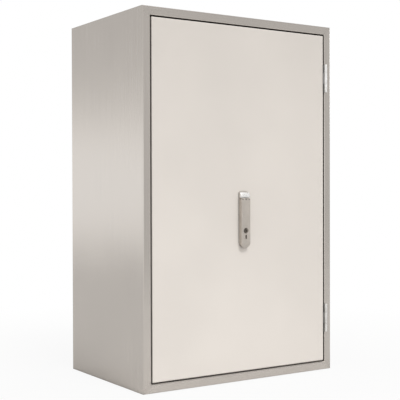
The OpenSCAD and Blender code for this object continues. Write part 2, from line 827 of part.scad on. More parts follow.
// The lever: a hollow casting with a countersunk opening over the plug for the key, and a
// slot below it over the cylinder's leg
module handle_lever() {
  half = lever_w / 2;
  slot_half = lug_w / 2 + 0.25;
  slot_r = lug_r + 0.3;
  pocket_top = -lug_w;
  pocket_low = -cyl_drop + cyl_d / 2 + 7;
  color("lightgray") difference() {
    intersection() {
      translate([0, 0, handle_z]) plate_x(-half, half) lever_side();
      plate_y(lever_front_y - over, lever_back_y + over)
        soft_strip(-half, handle_z - lever_l, half, handle_z + nose_r, half - 1, lever_top_r);
      plate_z(handle_z - lever_l - over, handle_z + nose_r + over)
        soft_strip(-half, lever_front_y, half, lever_back_y, lever_edge_r, 0.6);
    }
    // Room between the cheeks for the rotor's lug over the lever's whole swing
    translate([0, 0, handle_z]) plate_x(-slot_half, slot_half) {
      translate([lever_pin_y, 0]) circle(slot_r);
      strip(lever_pin_y - slot_r, 0, lever_back_y + over, nose_r + over);
      strip(lever_pin_y, -slot_r - 1.5, lever_back_y + over, over);
    }
    // Two pockets with a rib between them lighten the back
    for (side = [-1, 1])
      mirror([side < 0 ? 1 : 0, 0, 0])
        translate([1, lever_front_y + lever_wall, handle_z + pocket_low])
          cube([half - lever_wall - 1, lever_t, pocket_top - pocket_low]);
    // A scoop for the fingertip behind the foot
    translate([-lever_w, lever_back_y + 6, handle_z - lever_l - 2]) rotate([0, 90, 0])
      cylinder(h = 2 * lever_w, r = 9);
    bar_y(0, cyl_z, lever_front_y - over, lever_back_y + over, key_opening_d);
    translate([0, lever_front_y + 1.2, cyl_z]) rotate([90, 0, 0])
      cylinder(h = 1.2 + over, d1 = key_opening_d, d2 = key_opening_d + 3);
    plate_y(lever_front_y - over, lever_back_y + over)
      soft_strip(-leg_slot_w / 2, leg_slot_z - leg_slot_h / 2, leg_slot_w / 2,
                 leg_slot_z + leg_slot_h / 2, leg_slot_w / 2 - 0.1, leg_slot_w / 2 - 0.1);
    translate([-half - over, lever_pin_y, handle_z]) rotate([0, 90, 0])
      cylinder(h = lever_w + 2 * over, d = lever_pin_d + 2 * run_fit);
    for (side = [-1, 1])
      bar_y(side * grub_x, handle_z, lever_front_y - over, lever_pin_y, grub_d + 2 * run_fit);
    bar_y(0, handle_z, lever_front_y - over, lever_pin_y, grub_d + 2 * run_fit);
  }
}

module lever_pin() {
  length = lever_w - 3.5;
  color("white") translate([-length / 2, lever_pin_y, handle_z]) rotate([0, 90, 0])
    cylinder(h = length, d = lever_pin_d);
}

// Two grub screws hold the pin in the lever's cheeks, and a short one in the middle
// presses on the rotor's lug, so that the lever stays where it is put
module lever_grub_screws() {
  sunk = 0.5;
  color("dimgray") for (spot = [[-grub_x, lever_pin_d / 2], [0, lug_r], [grub_x, lever_pin_d / 2]])
    difference() {
      bar_y(spot[0], handle_z, lever_front_y + sunk, lever_pin_y - spot[1] - run_fit, grub_d);
      bar_y(spot[0], handle_z, lever_front_y, lever_front_y + sunk + 0.8, grub_key_w);
    }
}

module lock_cylinder() {
  cam_floor_z = cyl_bottom_z + cyl_bridge_h;
  color("silver") difference() {
    plate_y(base_front_y, cyl_back_y) cylinder_profile(0);
    bar_y(0, cyl_z, base_front_y - over, cam_front_y + over, plug_d + 2 * run_fit);
    bar_y(0, cyl_z, cam_front_y, cyl_back_y + over, 10 + 2 * run_fit);
    plate_y(cam_front_y, cam_front_y + cam_slot_w)
      strip(-cyl_d, cam_floor_z, cyl_d, cyl_z + cyl_d);
    translate([-cyl_d, cyl_screw_y, cyl_screw_z]) rotate([0, 90, 0])
      cylinder(h = 2 * cyl_d, d = cyl_screw_d + 2 * screw_fit);
  }
}

module cylinder_screw() {
  head_h = 3;
  color("silver") translate([cyl_arm_half, cyl_screw_y, cyl_screw_z]) rotate([0, -90, 0]) {
    cylinder(h = 2 * cyl_arm_half - 1, d = cyl_screw_d);
    translate([0, 0, -head_h]) difference() {
      cylinder(h = head_h, d = 1.7 * cyl_screw_d);
      translate([0, 0, -over]) cylinder(h = head_h, d = 3.5, $fn = 6);
    }
  }
}

// The plug with its keyway in front, and the cam ring with its thumb behind
module lock_plug() {
  key_w = 1.6;
  key_h = 8.4;
  color("gold") difference() {
    union() {
      bar_y(0, cyl_z, base_front_y, cam_front_y + over, plug_d);
      bar_y(0, cyl_z, cam_front_y + 0.4, cam_front_y + cam_slot_w - 0.4, cyl_d - 1.6);
      bar_y(0, cyl_z, cam_front_y + over, cyl_back_y, 10);
      plate_y(cam_front_y + 0.4, cam_front_y + cam_slot_w - 0.4) {
        strip(-3, cyl_z - cam_reach + 3, 3, cyl_z);
        translate([0, cyl_z - cam_reach + 3]) circle(3);
      }
    }
    plate_y(base_front_y - over, base_front_y + 20) {
      strip(-key_w / 2, cyl_z - key_h / 2, key_w / 2, cyl_z + key_h / 2);
      strip(-key_w / 2 - 0.7, cyl_z - key_h / 2, key_w / 2 - 0.7, cyl_z - key_h / 2 + 3);
    }
  }
}

// ---- rod lock ----

// Angle of an involute's point at a roll given in radians
function involute_turn(roll) = roll * 180 / PI - atan(roll);

// The pinion's outline. Each tooth is two involute flanks joined across its tip, and
// straight roots join it to its neighbours
function pinion_points() = let (
    base_r = pitch_r * cos(pressure),
    tip_r = pitch_r + addendum,
    root_r = pitch_r - dedendum,
    tip_roll = sqrt(pow(tip_r / base_r, 2) - 1),
    half_tooth = 90 / pinion_teeth - backlash / 4 / pitch_r * 180 / PI
      + involute_turn(tan(pressure)),
    steps = 6
  ) [
    for (i = [0 : pinion_teeth - 1], side = [-1, 1], k = [0 : steps + 1])
      let (
        // Along the first flank the steps go outwards, and along the second inwards
        step = side < 0 ? k - 1 : steps - k,
        roll = tip_roll * max(step, 0) / steps,
        r = step < 0 ? root_r : base_r * sqrt(1 + roll * roll),
        a = i * 360 / pinion_teeth + side * (half_tooth - involute_turn(roll))
      )
      r * [cos(a), sin(a)]
  ];

// Where a gap between a rack's teeth has to stand for the pinion's nearest tooth, for a
// rack at an angle round the pinion
function rack_phase(angle) = let (
    pitch_angle = 360 / pinion_teeth,
    nearest = round(angle / pitch_angle) * pitch_angle
  ) pitch_r * (nearest - angle) * PI / 180;

// A rack's outline: X is the distance from the pinion's axis and Y runs along the rack.
// Its teeth lie where they pass the pinion over the whole travel
function rack_points(phase) = let (
    tooth_pitch = PI * gear_module,
    half = tooth_pitch / 4 - backlash / 4,
    slope = tan(pressure),
    tip_x = pitch_r - addendum,
    root_x = pitch_r + dedendum,
    tip_half = half - addendum * slope,
    root_half = half + dedendum * slope,
    first = ceil((-rack_tail + root_half - phase) / tooth_pitch - 0.5),
    last = floor((travel + 9 - phase) / tooth_pitch - 0.5)
  ) concat(
    [[root_x + rod_w, -rack_tail], [root_x, -rack_tail]],
    [
      for (k = [first : last], corner = [0 : 3])
        let (
          centre = phase + (k + 0.5) * tooth_pitch,
          at_tip = corner == 1 || corner == 2,
          side = corner < 2 ? -1 : 1
        )
        [at_tip ? tip_x : root_x, centre + side * (at_tip ? tip_half : root_half)]
    ],
    [[root_x, lap_start + lap_l], [root_x + rod_w, lap_start + lap_l]]
  );

// Turns something made for the upper rod to another rod's angle round the pinion
module at_angle(angle) {
  translate([0, 0, handle_z]) rotate([0, -angle, 0]) children();
}

// The distances along a lap at which its two pegs stand
function peg_places() = [lap_start + 3.5, lap_start + lap_l - 3.5];

// A rack in the layer that starts at y0, with pegs for its rod on the side of peg_y
module rack(angle, y0, peg_y) {
  color("slategray") at_angle(angle) {
    plate_y(y0, y0 + rack_t) polygon(rack_points(rack_phase(angle)));
    for (z = peg_places())
      bar_y(rod_offset, z, min(y0, peg_y), max(y0, peg_y), peg_d);
  }
}

// A flat rod from its rack to its tip
module rod(angle, y0, reach) {
  color("silver") at_angle(angle) difference() {
    plate_y(y0, y0 + rod_t)
      strip(rod_offset - rod_w / 2, lap_start, rod_offset + rod_w / 2, reach - tip_l + rod_in_tip);
    for (z = peg_places())
      bar_y(rod_offset, z, y0 - over, y0 + rod_t + over, peg_d + 2 * slide_fit);
  }
}

// The moulded tip on a rod, whose front is ramped so that it slides in behind the flange
module rod_tip(angle, rod_y, reach) {
  back_y = rod_y + rod_t + tip_back_wall;
  color("dimgray") at_angle(angle) difference() {
    intersection() {
      plate_x(rod_offset - tip_w / 2, rod_offset + tip_w / 2) polygon([
        [tip_front_y, reach - tip_l], [back_y, reach - tip_l], [back_y, reach],
        [tip_front_y + tip_ramp * 0.6, reach], [tip_front_y, reach - tip_ramp]
      ]);
      plate_y(tip_front_y - over, back_y + over)
        soft_strip(rod_offset - tip_w / 2, reach - tip_l, rod_offset + tip_w / 2, reach, 2, 4);
    }
    plate_y(rod_y - slide_fit, rod_y + rod_t + slide_fit)
      strip(rod_offset - rod_w / 2 - slide_fit, reach - tip_l - over,
            rod_offset + rod_w / 2 + slide_fit, reach - tip_l + rod_in_tip + slide_fit);
  }
}

// Where a rod's guide stands along it, clear of the tip over the whole travel
function guide_place(reach) = reach - tip_l - travel - guide_gap - guide_l / 2;

// A guide: a foot on the door's skin, a column and an eye round the rod
module rod_guide(angle, rod_y, reach) {
  top_y = rod_y + rod_t + 4;
  eye = 0.25;
  half = guide_column_w / 2;
  foot_y = door_skin_y + guide_foot_t;
  color("dimgray") at_angle(angle) difference() {
    plate_z(guide_place(reach) - guide_l / 2, guide_place(reach) + guide_l / 2)
      translate([rod_offset, 0]) difference() {
        union() {
          strip(-guide_foot_w / 2, door_skin_y, guide_foot_w / 2, foot_y);
          soft_strip(-half, door_skin_y, half, top_y, 0.1, 4);
          // The column flares out into the foot
          polygon([[-half - 4, foot_y], [half + 4, foot_y], [half, foot_y + 12],
                   [-half, foot_y + 12]]);
        }
        strip(-rod_w / 2 - eye, rod_y - eye, rod_w / 2 + eye, rod_y + rod_t + eye);
        // The column is cored out below the eye
        soft_strip(-half + 3, foot_y, half - 3, rod_y - 3.5, 2, 2);
      }
    for (side = [-1, 1])
      bar_y(rod_offset + side * guide_stud_offset, guide_place(reach), door_skin_y - over,
            foot_y + over, guide_stud_d + 2 * screw_fit);
  }
}

// Copies at the two fixing studs of each of the three guides
module guide_fixings() {
  for (rod = [[0, vertical_reach], [180, vertical_reach], [90, side_reach]], side = [-1, 1])
    at_angle(rod[0]) translate([rod_offset + side * guide_stud_offset, 0, guide_place(rod[1])])
      children();
}

module guide_studs() {
  color("silver") guide_fixings() bar_y(0, 0, door_skin_y, door_skin_y + guide_stud_l, guide_stud_d);
}

module guide_nuts() {
  foot_y = door_skin_y + guide_foot_t;
  color("silver") guide_fixings() nut_y(0, 0, foot_y, foot_y + guide_nut_h, guide_stud_d);
}

module lock_pinion() {
  face = slide_fit / 2;
  color("goldenrod") difference() {
    union() {
      plate_y(front_layer_y - face, case_back_y - face)
        translate([0, handle_z]) polygon(pinion_points());
      bar_y(0, handle_z, case_front_y - 1.5, front_layer_y, hub_d);
      bar_y(0, handle_z, case_back_y - over, cover_back_y, rear_hub_d);
    }
    plate_y(case_front_y - 3, cover_back_y + over) translate([0, handle_z])
      square(spindle_w + slide_fit, center = true);
  }
}

// The case's channel for one rack
module rack_channel(angle, y0) {
  inner_x = pitch_r - addendum - slide_fit;
  outer_x = pitch_r + dedendum + rod_w + slide_fit;
  at_angle(angle) plate_y(y0 - slide_fit, y0 + rack_t + layer_gap)
    strip(inner_x, -case_half - over, outer_x, case_half + over);
}

// The cast case: three channels cross in two layers round the pinion's pocket
module lock_case() {
  color("darkgray") difference() {
    plate_y(case_front_y, case_back_y) translate([0, handle_z])
      soft_strip(-case_half, -case_half, case_half, case_half, 4, 4);
    rack_channel(0, rear_layer_y);
    rack_channel(180, rear_layer_y);
    rack_channel(90, front_layer_y);
    bar_y(0, handle_z, case_front_y + case_floor_t, case_back_y + over,
          2 * (pitch_r + addendum) + 0.7);
    bar_y(0, handle_z, case_front_y - over, case_back_y, hub_d + 2 * run_fit);
    translate([0, 0, handle_z]) four_corners(case_screw, case_screw)
      bar_y(0, 0, case_front_y - over, case_back_y + over, case_screw_d + 2 * screw_fit);
  }
}

module lock_case_cover() {
  color("silver") plate_y(case_back_y, cover_back_y) translate([0, handle_z]) difference() {
    soft_strip(-case_half, -case_half, case_half, case_half, 4, 4);
    circle(d = rear_hub_d + 2 * run_fit);
    for (x = [-1, 1], z = [-1, 1])
      translate([x, z] * case_screw) circle(d = case_screw_d + 2 * screw_fit);
  }
}

module lock_standoffs() {
  color("silver") translate([0, 0, handle_z]) four_corners(case_screw, case_screw) difference() {
    bar_y(0, 0, door_skin_y, case_front_y, standoff_d);
    bar_y(0, 0, case_front_y - 14, case_front_y + over, case_screw_d + 2 * run_fit);
  }
}

module lock_screws() {
  head_h = 2.6;
  color("silver") translate([0, 0, handle_z]) four_corners(case_screw, case_screw) difference() {
    union() {
      bar_y(0, 0, case_front_y - 12, cover_back_y, case_screw_d);
      bar_y(0, 0, cover_back_y, cover_back_y + head_h, 1.8 * case_screw_d);
    }
    translate([0, cover_back_y + head_h + over, 0]) rotate([90, 0, 0])
      cylinder(h = head_h, d = 3, $fn = 6);
  }
}

module upper_rack() { rack(0, rear_layer_y, vertical_rod_y); }
module lower_rack() { rack(180, rear_layer_y, vertical_rod_y); }
module side_rack() { rack(90, front_layer_y, side_rod_y + rod_t); }
module upper_rod() { rod(0, vertical_rod_y, vertical_reach); }
module lower_rod() { rod(180, vertical_rod_y, vertical_reach); }
module side_rod() { rod(90, side_rod_y, side_reach); }
module upper_rod_tip() { rod_tip(0, vertical_rod_y, vertical_reach); }
module lower_rod_tip() { rod_tip(180, vertical_rod_y, vertical_reach); }
module side_rod_tip() { rod_tip(90, side_rod_y, side_reach); }
module upper_rod_guide() { rod_guide(0, vertical_rod_y, vertical_reach); }
module lower_rod_guide() { rod_guide(180, vertical_rod_y, vertical_reach); }
module side_rod_guide() { rod_guide(90, side_rod_y, side_reach); }

left_side_panel();
right_side_panel();
top_panel();
bottom_panel();
rear_panel();
upper_hinge_frame_leaf();
lower_hinge_frame_leaf();
upper_hinge_pin();
lower_hinge_pin();
mounting_plate();
plate_studs();
plate_spacers();
plate_nuts();
gland_plate();
gland_gasket();
gland_studs();
gland_nuts();
cabinet_earth_stud();
door_panel();
door_gasket();
left_door_rail();
right_door_rail();
upper_hinge_door_leaf();
lower_hinge_door_leaf();
door_earth_stud();
handle_gasket();
handle_base();
handle_screws();
lock_cylinder();
cylinder_screw();
lock_standoffs();
lock_case();
lock_case_cover();
lock_screws();
upper_rod_guide();
lower_rod_guide();
side_rod_guide();
guide_studs();
guide_nuts();
handle_rotor();
rotor_clip();
square_spindle();
lock_pinion();
handle_lever();
lever_pin();
lever_grub_screws();
lock_plug();
upper_rack();
upper_rod();
upper_rod_tip();
lower_rack();
lower_rod();
lower_rod_tip();
side_rack();
side_rod();
side_rod_tip();
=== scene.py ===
"""Looks of a steel wall enclosure with an inset door, a swing handle and a rod lock.

Every length is in metres, in the CAD model's own frame: +Z is up, the door faces -Y and
the origin is the middle of the wall-fixing holes on the rear face.
"""
import json
import logging
import math
from dataclasses import dataclass, field
from enum import Enum
from typing import ClassVar

import bmesh
import bpy
import numpy as np
from mathutils import Matrix, Vector


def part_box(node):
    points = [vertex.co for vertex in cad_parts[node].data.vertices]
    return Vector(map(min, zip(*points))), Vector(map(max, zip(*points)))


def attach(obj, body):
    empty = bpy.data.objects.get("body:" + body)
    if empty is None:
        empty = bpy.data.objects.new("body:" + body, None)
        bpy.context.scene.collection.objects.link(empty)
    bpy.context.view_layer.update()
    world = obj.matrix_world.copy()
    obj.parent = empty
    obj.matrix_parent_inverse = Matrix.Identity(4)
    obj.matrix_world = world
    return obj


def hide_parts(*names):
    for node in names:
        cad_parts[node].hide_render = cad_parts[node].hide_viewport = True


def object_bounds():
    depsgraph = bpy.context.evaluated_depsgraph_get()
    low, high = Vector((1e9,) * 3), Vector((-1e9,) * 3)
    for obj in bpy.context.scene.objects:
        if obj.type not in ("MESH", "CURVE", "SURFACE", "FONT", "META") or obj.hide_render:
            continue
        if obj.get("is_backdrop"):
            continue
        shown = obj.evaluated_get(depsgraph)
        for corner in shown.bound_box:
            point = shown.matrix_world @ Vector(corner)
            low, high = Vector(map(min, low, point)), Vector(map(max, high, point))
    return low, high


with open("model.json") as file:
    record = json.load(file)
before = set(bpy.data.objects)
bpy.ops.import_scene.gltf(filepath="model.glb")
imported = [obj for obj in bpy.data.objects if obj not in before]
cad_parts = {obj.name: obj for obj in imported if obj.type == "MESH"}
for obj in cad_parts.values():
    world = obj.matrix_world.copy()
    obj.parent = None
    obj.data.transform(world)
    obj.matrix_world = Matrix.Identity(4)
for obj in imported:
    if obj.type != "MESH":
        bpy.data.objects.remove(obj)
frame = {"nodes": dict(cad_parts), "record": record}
LOG = logging.getLogger("wall_enclosure")
MM = 0.001
# Points of a CAD mesh that are this near, in metres, are one point
SAME_PLACE = 2e-6
# Points of a new surface that are this near are one point, as at its poles
SAME_POLE = 1e-7
# Facets that differ by less than this, in degrees, are one face
FLAT_ANGLE = 0.4
# What the camera and the lamps face
MIDDLE = (0.0, -0.2, 0.0)
Colour = tuple[float, float, float]
Surface = tuple[np.ndarray, np.ndarray]


class Grain(Enum):
    """Direction in which a sheet is brushed, as scratches per metre along each axis."""

    ALONG_X = (6.0, 900.0, 900.0)
    ALONG_Z = (900.0, 900.0, 6.0)


class Shop:
    """A small workshop for the nodes of one material, or of the world."""

    def __init__(self, product: bpy.types.Material | bpy.types.World,
                 output: str = "ShaderNodeOutputMaterial") -> None:
        """Starts with nothing but the output.

        Args:
            product: The material or world, new.
            output: Blender's name for the output's type.
        """
        self.product = product
        self.product.use_nodes = True
        self.tree = self.product.node_tree
        self.tree.nodes.clear()
        self.output = self.add(output)

    def add(self, kind: str, **settings: object) -> bpy.types.Node:
        """Adds a node and sets its attributes.

        Args:
            kind: Blender's name for the node's type.
            settings: Attributes of the node.

        Returns:
            The node.
        """
        node = self.tree.nodes.new(kind)
        for key, value in settings.items():
            setattr(node, key, value)
        return node

    def join(self, out: bpy.types.NodeSocket, into: bpy.types.NodeSocket) -> None:
        """Links one socket to another."""
        self.tree.links.new(out, into)

    def place(self, scale: tuple[float, float, float] = (1, 1, 1)) -> bpy.types.NodeSocket:
        """Gives the piece's own coordinates, stretched.

        Args:
            scale: Factor along each axis.

        Returns:
            The coordinates' socket.
        """
        coords = self.add("ShaderNodeTexCoord")
        mapping = self.add("ShaderNodeMapping")
        mapping.inputs["Scale"].default_value = scale
        self.join(coords.outputs["Object"], mapping.inputs["Vector"])
        return mapping.outputs["Vector"]

    def along(self, axis: int) -> bpy.types.NodeSocket:
        """Gives the piece's own coordinate along one axis.

        Args:
            axis: 0 for X, 1 for Y, 2 for Z.

        Returns:
            The coordinate's socket.
        """
        split = self.add("ShaderNodeSeparateXYZ")
        self.join(self.place(), split.inputs[0])
        return split.outputs[axis]

    def noise(self, where: bpy.types.NodeSocket, scale: float, detail: float = 3.0,
              rough: float = 0.5) -> bpy.types.NodeSocket:
        """Adds smooth noise.

        Args:
            where: Coordinates' socket.
            scale: Cells per metre.
            detail: Octaves.
            rough: Weight of the finer octaves.

        Returns:
            The noise's value socket.
        """
        node = self.add("ShaderNodeTexNoise")
        node.inputs["Scale"].default_value = scale
        node.inputs["Detail"].default_value = detail
        node.inputs["Roughness"].default_value = rough
        self.join(where, node.inputs["Vector"])
        return node.outputs["Fac"]

    def cells(self, where: bpy.types.NodeSocket, scale: float) -> bpy.types.NodeSocket:
        """Adds one random grey for each crystal-like cell.

        Args:
            where: Coordinates' socket.
            scale: Cells per metre.

        Returns:
            The grey's socket.
        """
        node = self.add("ShaderNodeTexVoronoi")
        node.inputs["Scale"].default_value = scale
        self.join(where, node.inputs["Vector"])
        grey = self.add("ShaderNodeSeparateColor")
        self.join(node.outputs["Color"], grey.inputs["Color"])
        return grey.outputs[0]

    def spread(self, value: bpy.types.NodeSocket, low: float, high: float,
               start: float = 0.3, end: float = 0.7) -> bpy.types.NodeSocket:
        """Maps a value from start..end onto low..high, held at both ends.

        Args:
            value: The value's socket.
            low: Result at start.
            high: Result at end.
            start: Value that gives low.
            end: Value that gives high.

        Returns:
            The result's socket.
        """
        node = self.add("ShaderNodeMapRange", clamp=True)
        for name, number in (("From Min", start), ("From Max", end), ("To Min", low),
                             ("To Max", high)):
            node.inputs[name].default_value = number
        self.join(value, node.inputs["Value"])
        return node.outputs["Result"]

    def sum(self, kind: str, first: bpy.types.NodeSocket | float,
            second: bpy.types.NodeSocket | float = 0.0) -> bpy.types.NodeSocket:
        """Does one sum on values.

        Args:
            kind: Blender's name for the operation.
            first: A socket or a number.
            second: A socket or a number.

        Returns:
            The result's socket.
        """
        node = self.add("ShaderNodeMath", operation=kind)
        for spot, item in enumerate((first, second)):
            if isinstance(item, (int, float)):
                node.inputs[spot].default_value = item
            else:
                self.join(item, node.inputs[spot])
        return node.outputs[0]

    def blend(self, *parts: tuple[bpy.types.NodeSocket, float]) -> bpy.types.NodeSocket:
        """Adds up values, each times its weight.

        Args:
            parts: Pairs of a value's socket and a weight.

        Returns:
            The sum's socket.
        """
        weighed = [self.sum("MULTIPLY", value, weight) for value, weight in parts]
        total = weighed.pop()
        while weighed:
            total = self.sum("ADD", weighed.pop(), total)
        return total

    def stretch(self, vector: bpy.types.NodeSocket, factor: bpy.types.NodeSocket | float
                ) -> bpy.types.NodeSocket:
        """Multiplies a colour or a vector by one factor.

        Args:
            vector: The colour's or the vector's socket.
            factor: A socket or a number.

        Returns:
            The result's socket.
        """
        node = self.add("ShaderNodeVectorMath", operation="SCALE")
        self.join(vector, node.inputs[0])
        if isinstance(factor, float):
            node.inputs["Scale"].default_value = factor
        else:
            self.join(factor, node.inputs["Scale"])
        return node.outputs[0]

    def tint(self, share: bpy.types.NodeSocket, dark: Colour, light: Colour
             ) -> bpy.types.NodeSocket:
        """Blends two colours by a value from 0 to 1.

        Args:
            share: The value's socket.
            dark: Colour at 0.
            light: Colour at 1.

        Returns:
            The colour's socket.
        """
        ramp = self.add("ShaderNodeValToRGB")
        ramp.color_ramp.elements[0].color = (*dark, 1)
        ramp.color_ramp.elements[1].color = (*light, 1)
        self.join(share, ramp.inputs["Fac"])
        return ramp.outputs["Color"]

    def shade_in_joints(self, colour: bpy.types.NodeSocket, reach: float, least: float
              ) -> bpy.types.NodeSocket:
        """Paints shade into a colour in narrow joints, by how close other walls are (ambient
        occlusion).

        Args:
            colour: The colour's socket.
            reach: How far away a wall still counts, in metres.
            least: Share of the colour that the painted shade leaves in the depth of a joint.

        Returns:
            The colour's socket.
        """
        open_share = self.add("ShaderNodeAmbientOcclusion", samples=8)
        open_share.inputs["Distance"].default_value = reach
        return self.stretch(colour, self.spread(open_share.outputs["AO"], least, 1.0, 0.1, 0.8))

    def bump(self, height: bpy.types.NodeSocket, depth: float, strength: float
             ) -> bpy.types.NodeSocket:
        """Turns a height from 0 to 1 into a bumped normal.

        Args:
            height: The height's socket.
            depth: Height of the relief in metres.
            strength: Share of the relief that is used.

        Returns:
            The normal's socket.
        """
        node = self.add("ShaderNodeBump")
        node.inputs["Distance"].default_value = depth
        node.inputs["Strength"].default_value = strength
        self.join(height, node.inputs["Height"])
        return node.outputs["Normal"]

    def shader(self, colour: bpy.types.NodeSocket, rough: bpy.types.NodeSocket,
               normal: bpy.types.NodeSocket, metal: float, **constants: float
               ) -> bpy.types.Material:
        """Finishes the material with one principled shader.

        Args:
            colour: The colour's socket.
            rough: The roughness's socket.
            normal: The normal's socket.
            metal: Metallic value.
            constants: Other values of the shader, underscores standing for spaces.

        Returns:
            The material.
        """
        self.last = node = self.add("ShaderNodeBsdfPrincipled")
        node.inputs["Metallic"].default_value = metal
        for key, value in constants.items():
            node.inputs[key.replace("_", " ")].default_value = value
        self.join(colour, node.inputs["Base Color"])
        self.join(rough, node.inputs["Roughness"])
        self.join(normal, node.inputs["Normal"])
        self.join(node.outputs[0], self.output.inputs["Surface"])
        return self.product


def shade(colour: Colour, factor: float) -> Colour:
    """Gives a colour times a factor, each part at most 1."""
    return tuple(min(1.0, part * factor) for part in colour)


@dataclass(frozen=True)
class BrushedSteel:
    """Stainless sheet with long fine scratches, and dressed welds at the frame's corners.

    The seam-shade value is the share of the colour that the painted shade leaves in a joint. The
    inner value is the metallic value of the mill finish behind the front, where that differs.
    """

    name: str
    grain: Grain
    colour: Colour = (0.73, 0.685, 0.64)
    rough: float = 0.24
    welded: bool = False
    seam_shade: float = 0.3
    metal: float = 1.0
    inner: float | None = None
    streak_share: ClassVar[float] = 0.055
    patch_reach: ClassVar[float] = 55 * MM

    def build(self) -> bpy.types.Material:
        """Makes the material: fine scratches on broader streaks along the grain.

        Returns:
            The material.
        """
        shop = Shop(bpy.data.materials.new(self.name))
        fine = shop.noise(shop.place(self.grain.value), 1.0, 4.0, 0.65)
        wide_scale = tuple(self.streak_share * part for part in self.grain.value)
        wide = shop.noise(shop.place(wide_scale), 1.0, 2.0)
        cloud = shop.noise(shop.place(), 5.0, 2.0)
        mixed = shop.blend((fine, 0.55), (wide, 0.15), (cloud, 0.3))
        rough = shop.spread(mixed, self.rough - 0.03, self.rough + 0.04, 0.35, 0.65)
        share = shop.spread(mixed, 0.0, 1.0, 0.35, 0.65)
        height = fine
        if self.welded:
            patch = self.weld_patch(shop)
            mottle = shop.noise(shop.place(), 260.0, 3.0, 0.6)
            share = shop.sum("SUBTRACT", share, shop.sum(
                "MULTIPLY", patch, shop.spread(mottle, -0.25, 0.9, 0.35, 0.62)))
            rough = shop.sum("ADD", rough, shop.sum("MULTIPLY", patch, 0.12))
            height = shop.sum("ADD", fine, shop.sum("MULTIPLY", patch, mottle))
        tone = shop.tint(share, shade(self.colour, 0.94), shade(self.colour, 1.04))
        # Painted shade: the steel's colour is darkened in narrow joints, by ambient occlusion.
        steel = shop.shader(shop.shade_in_joints(tone, 12 * MM, self.seam_shade), rough,
                            shop.bump(height, 0.01 * MM, 0.3), self.metal,
                            Anisotropic=0.75)
        across = shop.add("ShaderNodeTangent", direction_type="RADIAL", axis=self.grain.name[-1])
        shop.join(across.outputs[0], shop.last.inputs["Tangent"])
        if self.inner is not None:
            shop.join(self.on_front(shop, self.inner, self.metal), shop.last.inputs["Metallic"])
        return steel

    def on_front(self, shop: Shop, inside: float = 0.0, outside: float = 1.0
                 ) -> bpy.types.NodeSocket:
        """Tells the front from what lies behind it, with a short change between.

        Args:
            shop: The material's workshop.
            inside: Value behind the front.
            outside: Value on the front.

        Returns:
            The value's socket.
        """
        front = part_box("door_panel")[0].y
        return shop.spread(shop.along(1), outside, inside, front + 1 * MM, front + 4 * MM)

    def weld_patch(self, shop: Shop) -> bpy.types.NodeSocket:
        """Marks the dressed weld along each front mitre.

        With a the distance in from the side and b the distance in from the end, the
        patch is where a and b are nearly equal, their sum is small and the point lies on
        the front. Noise makes its rim uneven.

        Args:
            shop: The material's workshop.

        Returns:
            The socket of a value that is 1 on a weld and 0 away from it.
        """
        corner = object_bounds()[1]
        across = shop.sum("SUBTRACT", corner.x, shop.sum("ABSOLUTE", shop.along(0)))
        down = shop.sum("SUBTRACT", corner.z, shop.sum("ABSOLUTE", shop.along(2)))
        off_mitre = shop.sum("ABSOLUTE", shop.sum("SUBTRACT", across, down))
        wobble = shop.sum("MULTIPLY", shop.noise(shop.place(), 55.0, 2.0), 16 * MM)
        band = shop.spread(shop.sum("ADD", off_mitre, wobble), 1.0, 0.0, 9 * MM, 21 * MM)
        near = shop.spread(shop.sum("ADD", across, down), 1.0, 0.0,
                           self.patch_reach - 5 * MM, self.patch_reach + 5 * MM)
        return shop.sum("MULTIPLY", band, shop.sum("MULTIPLY", near, self.on_front(shop)))


@dataclass(frozen=True)
class PowderCoat:
    """Thermoset powder on steel: a fine orange peel on an even colour."""

    name: str
    colour: Colour
    rough: float = 0.42

    def build(self) -> bpy.types.Material:
        """Makes the material: two scales of peel, a faint drift of the colour, and painted shade
        in the joints.

        Returns:
            The material.
        """
        shop = Shop(bpy.data.materials.new(self.name))
        where = shop.place()
        drift = shop.noise(where, 3.5, 2.0)
        speck = shop.noise(where, 1600.0, 1.0)
        peel = shop.noise(where, 520.0, 2.0, 0.4)
        share = shop.blend((drift, 0.7), (speck, 0.3))
        tone = shop.tint(shop.spread(share, 0.0, 1.0, 0.38, 0.62),
                         shade(self.colour, 0.965), shade(self.colour, 1.02))
        rough = shop.spread(speck, self.rough - 0.04, self.rough + 0.05)
        # Painted shade: the coat's colour is darkened in narrow joints, by ambient occlusion.
        return shop.shader(shop.shade_in_joints(tone, 12 * MM, 0.3), rough,
                           shop.bump(peel, 0.06 * MM, 0.35), 0.0,
                           Specular_IOR_Level=0.45)


@dataclass(frozen=True)
class PlatedSteel:
    """Zinc-plated, nickel-plated or plain metal with a soft uneven shine.

    The scale is the fine ground's cells per metre, and the depth is its relief's.
    """

    name: str
    colour: Colour
    rough: float
    scale: float = 400.0
    depth: float = 0.01 * MM
    metal: float = 1.0

    def build(self) -> bpy.types.Material:
        """Makes the material: cloudy plating over a fine machined ground.

        Returns:
            The material.
        """
        shop = Shop(bpy.data.materials.new(self.name))
        where = shop.place()
        cloud = shop.noise(where, self.scale * 0.15, 3.0)
        fine = shop.noise(where, self.scale, 4.0, 0.6)
        mixed = shop.blend((cloud, 0.6), (fine, 0.4))
        tone = shop.tint(shop.spread(mixed, 0.0, 1.0, 0.38, 0.62),
                         shade(self.colour, 0.86), shade(self.colour, 1.06))
        rough = shop.spread(mixed, self.rough - 0.05, self.rough + 0.08)
        return shop.shader(self.painted_light(shop, tone), rough, shop.bump(fine, self.depth, 0.5),
                           self.metal)

    def painted_light(self, shop: Shop, tone: bpy.types.NodeSocket) -> bpy.types.NodeSocket:
        """Gives the tone with its painted light and shade. Plain plating paints none."""
        return tone


